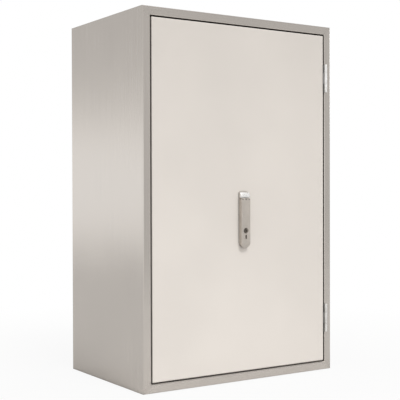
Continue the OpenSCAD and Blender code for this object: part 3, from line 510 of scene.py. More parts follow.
@dataclass(frozen=True)
class HingeSteel(PlatedSteel):
    """Plated hinge steel with painted light: a painted highlight on the barrel's front, and
    painted shade on the leaves behind it.
    """

    leaf_shade_share: ClassVar[float] = 0.42

    def painted_light(self, shop: Shop, tone: bpy.types.NodeSocket) -> bpy.types.NodeSocket:
        """Paints shade on the leaves, which start where the barrel's front half ends, so that
        only the barrel keeps the bright colour as a painted highlight, and paints shade in the
        joints.

        Args:
            shop: The material's workshop.
            tone: The plating's colour socket.

        Returns:
            The colour's socket, with the painted highlight and shade.
        """
        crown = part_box("upper_hinge_pin")[0].y
        # Painted highlight and shade: the barrel's front keeps the full colour, the leaves
        # behind it get a darker share.
        barrel_highlight = shop.spread(shop.along(1), 1.0, self.leaf_shade_share, crown + 3 * MM,
                             crown + 4.2 * MM)
        # Painted shade in the joints between the knuckles.
        return shop.shade_in_joints(shop.stretch(tone, barrel_highlight), 4 * MM, 0.3)


@dataclass(frozen=True)
class GalvanisedSheet:
    """Hot-dipped sheet with small spangles."""

    name: str
    colour: Colour = (0.60, 0.62, 0.635)

    def build(self) -> bpy.types.Material:
        """Makes the material: crystal cells that differ in grey and in gloss.

        Noise pushes the coordinates about before they are cut into cells, so that the
        cells' rims aren't straight.

        Returns:
            The material.
        """
        shop = Shop(bpy.data.materials.new(self.name))
        where = shop.place()
        noise = shop.add("ShaderNodeTexNoise")
        noise.inputs["Scale"].default_value = 90.0
        shop.join(where, noise.inputs["Vector"])
        warp = shop.add("ShaderNodeVectorMath", operation="ADD")
        shop.join(where, warp.inputs[0])
        shop.join(shop.stretch(noise.outputs["Color"], 12 * MM), warp.inputs[1])
        spangle = shop.cells(warp.outputs[0], 110.0)
        fine = shop.noise(where, 900.0, 3.0)
        share = shop.blend((spangle, 0.8), (fine, 0.2))
        tone = shop.tint(share, shade(self.colour, 0.8), shade(self.colour, 1.12))
        rough = shop.spread(spangle, 0.36, 0.5, 0.0, 1.0)
        return shop.shader(tone, rough, shop.bump(fine, 0.02 * MM, 0.4), 1.0)


@dataclass(frozen=True)
class CastCoat:
    """Satin lacquer on a zinc casting, with fine metallic flake."""

    name: str
    colour: Colour
    rough: float = 0.4
    metal: float = 0.55

    def build(self) -> bpy.types.Material:
        """Makes the material: flake, a soft cast ripple and a faint drift.

        Returns:
            The material.
        """
        shop = Shop(bpy.data.materials.new(self.name))
        where = shop.place()
        flake = shop.cells(where, 4200.0)
        drift = shop.noise(where, 60.0, 2.0)
        ripple = shop.noise(where, 700.0, 2.0)
        share = shop.blend((flake, 0.45), (drift, 0.55))
        tone = shop.tint(shop.spread(share, 0.0, 1.0, 0.25, 0.75),
                         shade(self.colour, 0.92), shade(self.colour, 1.07))
        rough = shop.spread(share, self.rough - 0.03, self.rough + 0.05)
        return shop.shader(tone, rough, shop.bump(ripple, 0.04 * MM, 0.35), self.metal)


@dataclass(frozen=True)
class SoftBody:
    """Foam rubber or moulded nylon, with pores per metre and their depth."""

    name: str
    colour: Colour
    rough: float
    pore: float
    depth: float

    def build(self) -> bpy.types.Material:
        """Makes the material: closed pores or a moulded grain, with a dusty drift.

        Returns:
            The material.
        """
        shop = Shop(bpy.data.materials.new(self.name))
        where = shop.place()
        pore = shop.add("ShaderNodeTexVoronoi", feature="F1")
        pore.inputs["Scale"].default_value = self.pore
        shop.join(where, pore.inputs["Vector"])
        dust = shop.noise(where, 40.0, 3.0)
        tone = shop.tint(shop.spread(dust, 0.0, 1.0), shade(self.colour, 0.85),
                         shade(self.colour, 1.35))
        rough = shop.spread(dust, self.rough - 0.05, self.rough + 0.05)
        return shop.shader(tone, rough, shop.bump(pore.outputs["Distance"], self.depth, 0.6),
                           0.0)


class Palette:
    """The finishes by the record's slots, and some of single parts, each made once."""

    single: ClassVar[dict[str, str]] = {
        "left_side_panel": "steel_upright", "right_side_panel": "steel_upright",
        "rear_panel": "steel_upright", "top_panel": "steel_level",
        "bottom_panel": "steel_base", "handle_rotor": "polished_steel",
        # The lower hinge takes a darker copy of the hinge steel, as painted shade.
        "lower_hinge_frame_leaf": "hinge_shaded", "lower_hinge_door_leaf": "hinge_shaded",
        "lower_hinge_pin": "hinge_shaded"}

    def __init__(self) -> None:
        """Makes every finish."""
        finishes = {
            "steel_upright": BrushedSteel("steel_upright", Grain.ALONG_Z, welded=True),
            "steel_level": BrushedSteel("steel_level", Grain.ALONG_X, welded=True),
            "steel_base": BrushedSteel("steel_base", Grain.ALONG_X, welded=True, seam_shade=1.0,
                                       metal=0.9, inner=0.5),
            "stainless_steel": BrushedSteel("steel_plate", Grain.ALONG_X),
            "door_paint": PowderCoat("door_powder_coat", (0.735, 0.69, 0.642)),
            "zinc_plated_steel": PlatedSteel("bright_zinc", (0.70, 0.71, 0.72), 0.3),
            "galvanised_sheet": GalvanisedSheet("spangled_zinc"),
            "polished_steel": PlatedSteel("polished_steel", (0.97, 0.96, 0.94), 0.26, metal=0.6),
            # Painted highlight: near-white and mostly matt, so that the hinge barrels show as a
            # bright reflection.
            "bright_steel": HingeSteel("hinge_steel", (0.99, 0.98, 0.95), 0.26, metal=0.15),
            # Painted shade: a darker, duller copy of the hinge steel, for the lower hinge.
            "hinge_shaded": HingeSteel("worn_hinge_steel", (0.76, 0.75, 0.73), 0.3, metal=0.35),
            "handle_grey": CastCoat("handle_lacquer", (0.565, 0.52, 0.47)),
            "cast_zinc": CastCoat("bare_casting", (0.42, 0.42, 0.41), 0.5, 0.9),
            # Painted shade: the lock cylinder's nickel is given a dark colour for the shade
            # inside the lever's recess.
            "cylinder_nickel": PlatedSteel("satin_nickel", (0.34, 0.32, 0.30), 0.32, 900.0),
            "pinion_brass": PlatedSteel("cut_brass", (0.78, 0.58, 0.28), 0.28, 900.0),
            "rack_steel": PlatedSteel("sintered_steel", (0.20, 0.20, 0.205), 0.5, 1500.0,
                                      0.04 * MM),
            "gasket_foam": SoftBody("foam_rubber", (0.035, 0.035, 0.036), 0.8, 1400.0,
                                    0.25 * MM),
            "guide_plastic": SoftBody("moulded_nylon", (0.035, 0.036, 0.038), 0.5, 2600.0,
                                      0.03 * MM),
            "earth_brass": PlatedSteel("stud_brass", (0.76, 0.57, 0.30), 0.34, 700.0),
        }
        self.made = {slot: finish.build() for slot, finish in finishes.items()}

    def __getitem__(self, slot: str) -> bpy.types.Material:
        """Gives a slot's material."""
        return self.made[slot]

    def of_node(self, node: str) -> bpy.types.Material:
        """Gives a CAD node's own material, or its slot's where it has none."""
        return self.made[self.single.get(node, slot_of(node))]


# ---- surfaces ----


def grid_faces(rows: int, columns: int, closed: bool = False) -> np.ndarray:
    """Numbers the four-sided faces of a grid of points.

    The point in row i and column j has number i * columns + j, and each face joins two
    neighbours in one row with the two in the next. The last column joins the first.

    Args:
        rows: Rings of points.
        columns: Points in each ring.
        closed: Whether the last ring joins the first.

    Returns:
        One row of four point numbers for each face.
    """
    i = np.arange(rows if closed else rows - 1)[:, None]
    j = np.arange(columns)[None, :]
    i2, j2 = (i + 1) % rows, (j + 1) % columns
    corners = (i * columns + j, i * columns + j2, i2 * columns + j2, i2 * columns + j)
    return np.stack([np.broadcast_to(c, (i.size, j.size)) for c in corners], -1).reshape(-1, 4)


def make_piece(name: str, surface: Surface, body: str, slot: str, palette: Palette,
               crease: float) -> bpy.types.Object:
    """Makes a mesh object from a surface, dresses it and puts it on a body.

    Args:
        name: The piece's name.
        surface: Points in metres, and the numbers of each face's points.
        body: The CAD body that it rides on.
        slot: The record's material slot, which gives the finish.
        palette: The finishes.
        crease: Angle in degrees past which an edge stays sharp.

    Returns:
        The object.
    """
    mesh = bpy.data.meshes.new(name)
    mesh.from_pydata(surface[0].tolist(), [], surface[1].tolist())
    work = bmesh.new()
    work.from_mesh(mesh)
    bmesh.ops.remove_doubles(work, verts=work.verts, dist=SAME_POLE)
    bmesh.ops.recalc_face_normals(work, faces=work.faces)
    work.to_mesh(mesh)
    work.free()
    return place_mesh(name, mesh, body, palette[slot], crease)


def place_mesh(name: str, mesh: bpy.types.Mesh, body: str,
               material: bpy.types.Material, crease: float) -> bpy.types.Object:
    """Shades a mesh, gives it a finish and puts it on a body.

    Args:
        name: The piece's name.
        mesh: Its mesh, in place.
        body: The CAD body that it rides on.
        material: Its finish.
        crease: Angle in degrees past which an edge stays sharp.

    Returns:
        The object.
    """
    mesh.shade_smooth()
    mesh.set_sharp_from_angle(angle=math.radians(crease))
    mesh.materials.clear()
    mesh.materials.append(material)
    piece = bpy.data.objects.new(name, mesh)
    bpy.context.collection.objects.link(piece)
    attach(piece, body)
    LOG.info("%s on %s: %d faces", name, body, len(mesh.polygons))
    return piece


def slot_of(node: str) -> str:
    """Gives the record's material slot of a CAD node."""
    return next(part["material_slot"] for part in frame["record"]["subparts"]
                if part["node"] == node)


def body_with(node: str) -> str:
    """Gives the CAD body that holds a node."""
    return next(name for name, nodes in frame["record"]["behaviour"]["bodies"].items()
                if node in nodes)


def cad_copy(node: str) -> bmesh.types.BMesh:
    """Makes a working copy of a CAD node's mesh, with its loose triangles merged.

    Args:
        node: The CAD node.

    Returns:
        The copy, which is freed after use.
    """
    work = bmesh.new()
    work.from_mesh(frame["nodes"][node].data)
    bmesh.ops.remove_doubles(work, verts=work.verts, dist=SAME_PLACE)
    return work


def soften(node: str, width: float, palette: Palette, sharp: float = 30.0) -> None:
    """Makes a copy of a CAD node with rounded edges, which stands in its place.

    Args:
        node: The CAD node.
        width: Width of the rounding in metres.
        palette: The finishes.
        sharp: Angle in degrees past which an edge is rounded.
    """
    work = cad_copy(node)
    bmesh.ops.dissolve_limit(work, angle_limit=math.radians(FLAT_ANGLE), verts=work.verts,
                             edges=work.edges)
    edges = [edge for edge in work.edges
             if edge.is_manifold and edge.calc_face_angle() > math.radians(sharp)]
    bmesh.ops.bevel(work, geom=edges, offset=width, offset_type="OFFSET", segments=2,
                    profile=0.5, clamp_overlap=True, affect="EDGES")
    bmesh.ops.triangulate(work, faces=[face for face in work.faces if len(face.verts) > 4])
    mesh = bpy.data.meshes.new(f"{node}_finished")
    work.to_mesh(mesh)
    work.free()
    piece = place_mesh(f"{node}_finished", mesh, body_with(node),
                       palette.of_node(node), sharp + 2.0)
    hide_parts(node)


# ---- sub-assemblies ----


@dataclass
class Thread:
    """A stud with a rolled thread from its root to its chamfered end."""

    start: Vector
    end: Vector
    radius: float
    pitch: float
    sides: int = 28
    rings_per_pitch: ClassVar[int] = 6
    depth_share: ClassVar[float] = 0.5
    chamfer_slope: ClassVar[float] = 0.7
    root_share: ClassVar[float] = 0.9
    tip_share: ClassVar[float] = 0.85

    def surface(self) -> Surface:
        """Works out the stud.

        At a turn t and a distance s along the stud, the radius is the crest's less the
        thread's depth times a rounded triangle wave of s / pitch - t / full turn. Near
        the free end the crest falls away as a chamfer. A centre point closes each end.

        Returns:
            Points and faces.
        """
        axis = self.end - self.start
        length = axis.length
        axis.normalize()
        side = axis.orthogonal().normalized()
        other = axis.cross(side)
        steps = int(length / self.pitch * self.rings_per_pitch)
        s = np.linspace(0.0, length, steps + 1)[:, None]
        t = np.linspace(0.0, 2 * np.pi, self.sides, endpoint=False)[None, :]
        wave = np.abs((s / self.pitch - t / (2 * np.pi)) % 1.0 * 2 - 1)
        depth = self.depth_share * self.pitch * np.clip(wave * 1.5 - 0.25, 0, 1)
        limit = self.radius - np.clip(s - (length - self.pitch), 0, None) * self.chamfer_slope
        r = np.minimum(self.radius - depth, limit)
        r[0] = self.radius * self.root_share
        r[-1] = min(limit[-1, 0], self.radius * self.tip_share)
        basis = [np.array(v) for v in (self.start, axis, side, other)]
        ring = (basis[0] + s[..., None] * basis[1] + (r * np.cos(t))[..., None] * basis[2]
                + (r * np.sin(t))[..., None] * basis[3])
        rings = np.concatenate([np.broadcast_to(basis[0], (1, self.sides, 3)), ring,
                                np.broadcast_to(np.array(self.end), (1, self.sides, 3))])
        return rings.reshape(-1, 3), grid_faces(len(rings), self.sides)


def join_surfaces(parts: list[Surface]) -> Surface:
    """Joins surfaces into one, with the later faces' numbers moved on.

    Args:
        parts: Points and faces of each surface.

    Returns:
        Points and faces.
    """
    starts = np.cumsum([0] + [len(points) for points, _ in parts[:-1]])
    return (np.concatenate([points for points, _ in parts]),
            np.concatenate([faces + start for (_, faces), start in zip(parts, starts)]))


def separate_boxes(node: str) -> list[tuple[Vector, Vector]]:
    """Finds the lowest and highest corner of each loose solid of a CAD node.

    Args:
        node: The CAD node.

    Returns:
        One pair of corners for each solid.
    """
    work = cad_copy(node)
    left, found = set(work.verts), []
    while left:
        group, rim = set(), [left.pop()]
        while rim:
            vert = rim.pop()
            group.add(vert)
            near = {edge.other_vert(vert) for edge in vert.link_edges} & left
            left -= near
            rim.extend(near)
        points = np.array([vert.co for vert in group])
        found.append((Vector(points.min(0)), Vector(points.max(0))))
    work.free()
    return sorted(found, key=lambda pair: tuple(round(c, 4) for c in pair[0]))


@dataclass
class Studs:
    """The threaded studs welded to the casing and to the door.

    Each row has a CAD node, the thread's pitch and the way that the free ends point.
    """

    rows: tuple[tuple[str, float, tuple[int, int, int]], ...] = (
        ("plate_studs", 1.25 * MM, (0, -1, 0)), ("gland_studs", 0.8 * MM, (0, 0, 1)),
        ("guide_studs", 0.8 * MM, (0, 1, 0)))
    sides: int = 24

    def build(self, palette: Palette) -> None:
        """Cuts a thread on each stud, from one end of its box to the other.

        Args:
            palette: The finishes.
        """
        for node, pitch, free_end in self.rows:
            parts = []
            for low, high in separate_boxes(node):
                centre, half = (low + high) / 2, (high - low) / 2
                reach = Vector(free_end) * abs(half.dot(Vector(free_end)))
                parts.append(Thread(centre - reach, centre + reach, min(half), pitch,
                                    self.sides).surface())
            piece = make_piece(f"{node}_threaded", join_surfaces(parts), body_with(node),
                               slot_of(node), palette, crease=50.0)
            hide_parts(node)


@dataclass
class EarthStuds:
    """The two earth studs, each on a round welding flange."""

    flange_t: float = 2 * MM
    flange_r: float = 7 * MM
    flange_edge: float = 0.3 * MM
    stud_r: float = 4 * MM
    bead: float = 0.6 * MM
    pitch: float = 1.25 * MM
    sides: int = 40

    def build(self, palette: Palette) -> None:
        """Cuts the threads and turns the flanges, with a bead where they meet.

        Args:
            palette: The finishes.
        """
        for node, direction in (("cabinet_earth_stud", Vector((1, 0, 0))),
                                ("door_earth_stud", Vector((0, 1, 0)))):
            low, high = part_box(node)
            reach = direction * (high - low).dot(direction) / 2
            root, tip = (low + high) / 2 - reach, (low + high) / 2 + reach
            stud = Thread(root + direction * self.flange_t / 2, tip, self.stud_r, self.pitch)
            parts = [stud.surface(), self.flange(root, direction)]
            piece = make_piece(f"{node}_threaded", join_surfaces(parts), body_with(node),
                               slot_of(node), palette, crease=40.0)
            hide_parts(node)

    def flange(self, root: Vector, direction: Vector) -> Surface:
        """Turns the flange: a profile of radius and height, carried round the axis.

        Args:
            root: Middle of the flange's back.
            direction: Unit vector towards the stud's free end.

        Returns:
            Points and faces.
        """
        profile = np.array([[0, 0], [self.flange_r, 0],
                            [self.flange_r, self.flange_t - self.flange_edge],
                            [self.flange_r - self.flange_edge, self.flange_t],
                            [self.stud_r + self.bead, self.flange_t],
                            [self.stud_r - self.bead / 2, self.flange_t + self.bead],
                            [0, self.flange_t + self.bead]])
        t = np.linspace(0, 2 * np.pi, self.sides, endpoint=False)[None, :, None]
        side = np.array(direction.orthogonal().normalized())
        other = np.cross(np.array(direction), side)
        r, h = profile[:, 0][:, None, None], profile[:, 1][:, None, None]
        points = np.array(root) + h * np.array(direction) + r * (np.cos(t) * side
                                                                + np.sin(t) * other)
        return points.reshape(-1, 3), grid_faces(len(profile), t.size)


@dataclass
class DoorGasket:
    """The foamed seal round the inside of the door, poured as one closed bead."""

    width: float = 12 * MM
    corner: float = 14.5 * MM
    steps: int = 720
    sides: int = 20
    squareness: float = 0.55
    swell: float = 0.05
    long_wave: float = 83 * MM
    short_wave: float = 31 * MM

    def build(self, palette: Palette) -> None:
        """Carries a low crowned profile along a rounded rectangle.

        The profile is a half super-ellipse on a flat foot. Its crown sinks and swells by
        the product of two slow waves along the path, as poured foam does.

        Args:
            palette: The finishes.
        """
        low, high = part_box("door_gasket")
        half = self.width / 2
        centre, normal, run = rounded_loop((low.x + half, low.z + half),
                                           (high.x - half, high.z - half),
                                           self.corner, self.steps)
        a = np.linspace(0, np.pi, self.sides)[None, :]
        across = -np.cos(a) * half
        crown = np.sin(a) ** self.squareness
        wave = (np.sin(run * 2 * np.pi / self.long_wave)
                * np.sin(run * 2 * np.pi / self.short_wave))
        rise = (high.y - low.y) * crown * (1 - self.swell * (1 + wave[:, None]) / 2)
        points = np.empty((self.steps, self.sides, 3))
        points[..., 0] = centre[:, 0:1] + normal[:, 0:1] * across
        points[..., 1] = low.y + rise
        points[..., 2] = centre[:, 1:2] + normal[:, 1:2] * across
        surface = points.reshape(-1, 3), grid_faces(self.steps, self.sides, closed=True)
        piece = make_piece("door_gasket_foamed", surface, "door", "gasket_foam", palette,
                           crease=60.0)
        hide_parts("door_gasket")


def rounded_loop(low: tuple[float, float], high: tuple[float, float], corner: float, steps: int
                 ) -> tuple[np.ndarray, np.ndarray, np.ndarray]:
    """Walks a rectangle with round corners at an even pace.

    The walk has four straight runs and four quarter circles. A table of the distance at
    many close points gives, for each even step, its place between two of them.

    Args:
        low: Lower left corner of the path's box.
        high: Upper right corner of the path's box.
        corner: Radius of the corners.
        steps: Number of points.

    Returns:
        The points, the unit normals that point outwards, and the distances.
    """
    left, bottom = low[0] + corner, low[1] + corner
    right, top = high[0] - corner, high[1] - corner
    middles = np.array([[right, top], [left, top], [left, bottom], [right, bottom]])
    quarter = np.linspace(0, np.pi / 2, 24)
    turn = np.arange(4)[:, None] * np.pi / 2 + quarter[None, :]
    outward = np.stack([np.cos(turn), np.sin(turn)], -1)
    path = (middles[:, None, :] + corner * outward).reshape(-1, 2)
    path = np.concatenate([path, path[:1]])
    outward = outward.reshape(-1, 2)
    outward = np.concatenate([outward, outward[:1]])
    gone = np.concatenate([[0], np.cumsum(np.linalg.norm(np.diff(path, axis=0), axis=1))])
    even = np.linspace(0, gone[-1], steps, endpoint=False)
    points = np.stack([np.interp(even, gone, path[:, k]) for k in (0, 1)], -1)
    normals = np.stack([np.interp(even, gone, outward[:, k]) for k in (0, 1)], -1)
    normals /= np.linalg.norm(normals, axis=1, keepdims=True)
    return points, normals, even


@dataclass
class StitchWelds:
    """Short weld beads in the casing's four long inner corners, at some depths along Y."""

    sheet: float = 1.5 * MM
    length: float = 26 * MM
    radius: float = 2.2 * MM
    ripple: float = 1.7 * MM
    ripple_share: float = 0.1
    sink: float = 0.25
    rings: int = 61
    sides: int = 16
    depths: tuple[float, ...] = (-0.335, -0.235, -0.135, -0.05)

    def bead(self, corner: Vector, inward: Vector) -> Surface:
        """Works out one bead along Y in a corner.

        At an angle a round the bead and a place s from -1 to 1 along it, the radius is
        the bead's times a dome over s, with one shallow scallop for each ripple.

        Args:
            corner: Middle of the bead, on the corner's edge.
            inward: Way into the casing, with 1 or -1 in X and in Z.

        Returns:
            Points and faces.
        """
        s = np.linspace(-1, 1, self.rings)[:, None]
        a = np.linspace(0, 2 * np.pi, self.sides, endpoint=False)[None, :]
        dome = np.sqrt(np.clip(1 - np.abs(s) ** 6, 0, None))
        phase = np.pi * s * self.length / 2 / self.ripple + 0.5 * np.cos(a)
        r = self.radius * dome * (1 - self.ripple_share * np.abs(np.sin(phase)))
        middle = np.array(corner) + np.array(inward) * self.radius * self.sink
        points = np.empty((self.rings, self.sides, 3))
        points[..., 0] = middle[0] + r * np.cos(a)
        points[..., 1] = middle[1] + s * self.length / 2
        points[..., 2] = middle[2] + r * np.sin(a)
        return points.reshape(-1, 3), grid_faces(self.rings, self.sides)

    def build(self, palette: Palette) -> None:
        """Lays every bead, as one piece.

        Args:
            palette: The finishes.
        """
        low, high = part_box("left_side_panel")[0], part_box("right_side_panel")[1]
        parts = []
        for side_x, x in ((1, low.x + self.sheet), (-1, high.x - self.sheet)):
            for side_z, z in ((1, low.z + self.sheet), (-1, high.z - self.sheet)):
                for y in self.depths:
                    parts.append(self.bead(Vector((x, y, z)), Vector((side_x, 0, side_z))))
        make_piece("casing_stitch_welds", join_surfaces(parts), "cabinet", "stainless_steel",
                   palette, crease=60.0)


@dataclass
class SpotWelds:
    """Round electrode marks along the rails' flanges."""

    radius: float = 2.4 * MM
    rise: float = 0.12 * MM
    count: int = 9
    flange_t: float = 1.5 * MM
    edge_to_row: float = 4 * MM
    end_to_row: float = 20 * MM
    rings: int = 8
    sides: int = 20
    ridge_at: float = 0.72
    ridge_width: float = 0.16
    cone_share: float = 0.35
    sink: float = 0.05 * MM

    def build(self, palette: Palette) -> None:
        """Presses a ring with a raised middle at each weld.

        At a share r of the radius, the height is a bell-shaped ridge near the rim and a
        low cone. The rim itself lies just below the flange's face.

        Args:
            palette: The finishes.
        """
        r = np.linspace(0, 1, self.rings)[:, None]
        a = np.linspace(0, 2 * np.pi, self.sides, endpoint=False)[None, :]
        ridge = np.exp(-((r - self.ridge_at) / self.ridge_width) ** 2)
        height = self.rise * (ridge + self.cone_share * (1 - r))
        height[-1] = -self.sink
        parts = []
        for rail in ("left_door_rail", "right_door_rail"):
            low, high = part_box(rail)
            for x in (low.x + self.edge_to_row, high.x - self.edge_to_row):
                for z in np.linspace(low.z + self.end_to_row, high.z - self.end_to_row,
                                     self.count):
                    points = np.empty((self.rings, self.sides, 3))
                    points[..., 0] = x + self.radius * r * np.cos(a)
                    points[..., 1] = low.y + self.flange_t + height
                    points[..., 2] = z + self.radius * r * np.sin(a)
                    parts.append((points.reshape(-1, 3), grid_faces(self.rings, self.sides)))
        make_piece("rail_spot_welds", join_surfaces(parts), "door", "galvanised_sheet",
                   palette, crease=60.0)


@dataclass
class SoftParts:
    """Parts whose edges are rounded by casting, moulding, pressing or turning."""

    widths: dict[str, float] = field(default_factory=lambda: {
        "handle_base": 0.5 * MM, "handle_rotor": 0.5 * MM, "handle_lever": 0.6 * MM,
        "upper_hinge_frame_leaf": 0.35 * MM, "lower_hinge_frame_leaf": 0.35 * MM,
        "upper_hinge_door_leaf": 0.35 * MM, "lower_hinge_door_leaf": 0.35 * MM,
        "upper_rod_tip": 0.5 * MM, "lower_rod_tip": 0.5 * MM, "side_rod_tip": 0.5 * MM,
        "upper_rod_guide": 0.4 * MM, "lower_rod_guide": 0.4 * MM, "side_rod_guide": 0.4 * MM,
        "upper_rod": 0.3 * MM, "lower_rod": 0.3 * MM, "side_rod": 0.3 * MM,
        "lock_case": 0.5 * MM, "lock_case_cover": 0.25 * MM, "mounting_plate": 0.3 * MM,
        "gland_plate": 0.3 * MM, "plate_nuts": 0.3 * MM, "gland_nuts": 0.2 * MM,
        "guide_nuts": 0.2 * MM, "lock_cylinder": 0.15 * MM, "plate_spacers": 0.3 * MM,
        "left_door_rail": 0.25 * MM, "right_door_rail": 0.25 * MM,
        "lock_standoffs": 0.2 * MM, "handle_screws": 0.2 * MM, "lock_screws": 0.2 * MM,
    })

    def build(self, palette: Palette) -> None:
        """Rounds each part's edges.

        Args:
            palette: The finishes.
        """
        for node, width in self.widths.items():
            soften(node, width, palette)


@dataclass
class Dressing:
    """Finishes for the CAD parts."""

    nodes: tuple[str, ...] = field(default_factory=lambda: tuple(frame["nodes"]))

    def build(self, palette: Palette) -> None:
        """Gives every CAD node its finish.

        Args:
            palette: The finishes.
        """
        for node in self.nodes:
            part, finish = frame["nodes"][node], palette.of_node(node)
            if not part.material_slots:
                part.data.materials.append(finish)
            for place in part.material_slots:
                place.material = finish
            LOG.info("%s dressed in %s", node, finish.name)


@dataclass(frozen=True)
class SoftBox:
    """A rectangular lamp of some watts, which faces a point within a cone of light."""

    name: str
    place: tuple[float, float, float]
    size: tuple[float, float]
    power: float
    aim: tuple[float, float, float] = MIDDLE
    cone: float = 180.0
    shines: bool = True
    lights: bool = True

    def build(self) -> None:
        """Hangs the lamp, which may be kept out of reflections or off matt surfaces."""
        data = bpy.data.lights.new(self.name, "AREA")
        data.shape = "RECTANGLE"
        data.size, data.size_y = self.size
        data.energy = self.power
        data.spread = math.radians(self.cone)
        lamp = bpy.data.objects.new(self.name, data)
        bpy.context.collection.objects.link(lamp)
        lamp.location = self.place
        lamp.rotation_mode = "QUATERNION"
        way = Vector(self.aim) - Vector(self.place)
        lamp.rotation_quaternion = way.to_track_quat("-Z", "Y")
        lamp.visible_glossy = self.shines
        lamp.visible_diffuse = self.lights


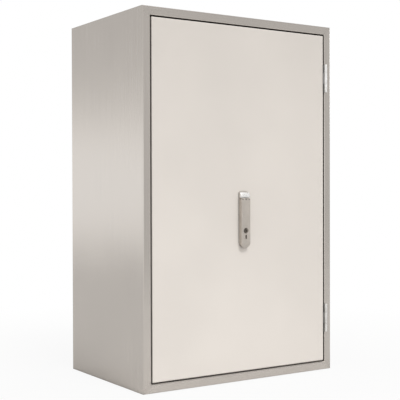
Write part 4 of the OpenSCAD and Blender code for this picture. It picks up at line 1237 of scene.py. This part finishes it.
@dataclass
class Studio:
    """Camera, floor and light.

    Angles are in degrees and the lens is in millimetres. A sky is given as levels from
    straight below, at 0, to straight above, at 1.
    """

    yaw: float = 33.228
    pitch: float = 0.725
    roll: float = -0.155
    lens: float = 83.075
    distance: float = 2.5772
    shift_right: float = 0.00289
    shift_down: float = -0.00376
    left_sky: tuple[tuple[float, float], ...] = (
        (0.0, 0.46), (0.41, 0.46), (0.444, 0.49), (0.471, 0.75), (0.489, 1.44), (0.509, 1.56),
        (0.529, 0.88), (0.559, 0.60), (0.63, 0.58), (0.8, 0.6), (0.92, 0.8), (1.0, 1.8))
    right_sky: tuple[tuple[float, float], ...] = (
        (0.0, 0.36), (0.36, 0.46), (0.46, 0.54), (0.51, 0.59), (0.57, 0.60), (0.63, 0.60),
        (0.8, 0.42), (0.92, 0.6), (1.0, 1.8))
    lamps: tuple[SoftBox, ...] = (
        SoftBox("top_light", (0.9, -21.6, 27.0), (12.0, 9.0), 5800.0),
        SoftBox("front_light", (-0.6, -2.6, 0.35), (1.4, 0.5), 1.3, aim=(0.0, -0.4, -0.75),
                cone=60.0, shines=False),
        SoftBox("strip_light", (2.9, -0.1, 0.9), (0.6, 1.1), 8.0, lights=False))
    floor_half: float = 3.2
    floor_gap: float = 0.5 * MM
    fade_start: float = 0.91
    fade_end: float = 1.0

    def build(self) -> None:
        """Sets up the camera, the floor, the world and the lamps."""
        bpy.context.scene.view_settings.view_transform = "Standard"
        self.camera()
        self.floor()
        self.world()
        for lamp in self.lamps:
            lamp.build()

    def camera(self) -> None:
        """Stands the camera in front, to the left, at half height.

        The rows of the turn matrix are the camera's right, up and back directions: yaw
        about the upright, then pitch, then roll.
        """
        yaw, pitch, roll = (math.radians(a) for a in (self.yaw, self.pitch, self.roll))
        turn = (Matrix.Rotation(roll, 3, "Y") @ Matrix.Rotation(pitch, 3, "X")
                @ Matrix.Rotation(yaw, 3, "Z"))
        right, forward, up = turn.row[0], turn.row[1], turn.row[2]
        data = bpy.data.cameras.new("camera")
        data.lens = self.lens
        data.sensor_width = 36.0
        camera = bpy.data.objects.new("camera", data)
        bpy.context.collection.objects.link(camera)
        place = (Vector(MIDDLE) - right * self.shift_right + up * self.shift_down
                 - forward * self.distance)
        axes = Matrix((right, up, -forward)).transposed().to_4x4()
        camera.matrix_world = Matrix.Translation(place) @ axes
        bpy.context.scene.camera = camera

    def floor(self) -> None:
        """Lays a pale floor that keeps the shadow, and fades to white away from it."""
        half, level = self.floor_half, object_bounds()[0].z - self.floor_gap
        mesh = bpy.data.meshes.new("floor")
        mesh.from_pydata([(-half, -half, level), (half, -half, level), (half, half, level),
                          (-half, half, level)], [], [(0, 1, 2, 3)])
        floor = bpy.data.objects.new("floor", mesh)
        bpy.context.collection.objects.link(floor)
        shop = Shop(bpy.data.materials.new("pale_floor"))
        paint = shop.add("ShaderNodeBsdfDiffuse")
        paint.inputs["Color"].default_value = (0.59, 0.585, 0.58, 1)
        glow = shop.add("ShaderNodeEmission")
        glow.inputs["Color"].default_value = (1, 1, 1, 1)
        rays = shop.add("ShaderNodeLightPath")
        mix = shop.add("ShaderNodeMixShader")
        reach = shop.add("ShaderNodeVectorMath", operation="DISTANCE")
        shop.join(shop.place(), reach.inputs[0])
        reach.inputs[1].default_value = (*MIDDLE[:2], level)
        white = shop.spread(reach.outputs["Value"], self.fade_start, self.fade_end, 0.45, 1.5)
        share = shop.sum("MULTIPLY", rays.outputs["Is Camera Ray"], white)
        shop.join(share, mix.inputs["Fac"])
        shop.join(paint.outputs[0], mix.inputs[1])
        shop.join(glow.outputs[0], mix.inputs[2])
        shop.join(mix.outputs[0], shop.output.inputs["Surface"])
        mesh.materials.append(shop.product)
        floor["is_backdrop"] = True

    def world(self) -> None:
        """Lights from all round, and shows white to the camera.

        The light's level follows how far up its direction points, by one sky on the left
        and another on the right, with a smooth change between.
        """
        shop = Shop(bpy.data.worlds.new("studio"), "ShaderNodeOutputWorld")
        bpy.context.scene.world = shop.product
        coords = shop.add("ShaderNodeTexCoord")
        split = shop.add("ShaderNodeSeparateXYZ")
        shop.join(coords.outputs["Generated"], split.inputs[0])
        height = shop.spread(split.outputs["Z"], 0.0, 1.0, -1.0, 1.0)
        side = shop.spread(split.outputs["X"], 0.0, 1.0, -0.4, 0.3)
        side.node.interpolation_type = "SMOOTHSTEP"
        blend = shop.add("ShaderNodeMix", data_type="RGBA")
        shop.join(side, blend.inputs[0])
        for spot, sky in ((6, self.left_sky), (7, self.right_sky)):
            bands = self.bands(shop, sky)
            shop.join(height, bands.inputs["Fac"])
            shop.join(bands.outputs["Color"], blend.inputs[spot])
        light = shop.add("ShaderNodeBackground")
        shop.join(blend.outputs[2], light.inputs["Color"])
        white = shop.add("ShaderNodeBackground")
        white.inputs["Color"].default_value = (1, 1, 1, 1)
        rays = shop.add("ShaderNodeLightPath")
        mix = shop.add("ShaderNodeMixShader")
        shop.join(rays.outputs["Is Camera Ray"], mix.inputs["Fac"])
        shop.join(light.outputs[0], mix.inputs[1])
        shop.join(white.outputs[0], mix.inputs[2])
        shop.join(mix.outputs[0], shop.output.inputs["Surface"])

    @staticmethod
    def bands(shop: Shop, sky: tuple[tuple[float, float], ...]) -> bpy.types.Node:
        """Makes the ramp of a sky's levels from straight below to straight above.

        Args:
            shop: The world's workshop.
            sky: Pairs of a place from 0 to 1 and a level.

        Returns:
            The ramp.
        """
        ramp = shop.add("ShaderNodeValToRGB")
        ramp.color_ramp.interpolation = "B_SPLINE"
        levels = ramp.color_ramp.elements
        while len(levels) > 1:
            levels.remove(levels[-1])
        for spot, (place, level) in enumerate(sky):
            mark = levels[0] if spot == 0 else levels.new(place)
            mark.position = place
            mark.color = (level, level * 0.985, level * 0.97, 1)
        return ramp


def main() -> None:
    """Builds the looks piece by piece."""
    logging.basicConfig(level=logging.INFO, format="%(message)s")
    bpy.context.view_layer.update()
    palette = Palette()
    Dressing().build(palette)
    SoftParts().build(palette)
    Studs().build(palette)
    EarthStuds().build(palette)
    DoorGasket().build(palette)
    StitchWelds().build(palette)
    SpotWelds().build(palette)
    Studio().build()


if __name__ == "__main__":
    main()
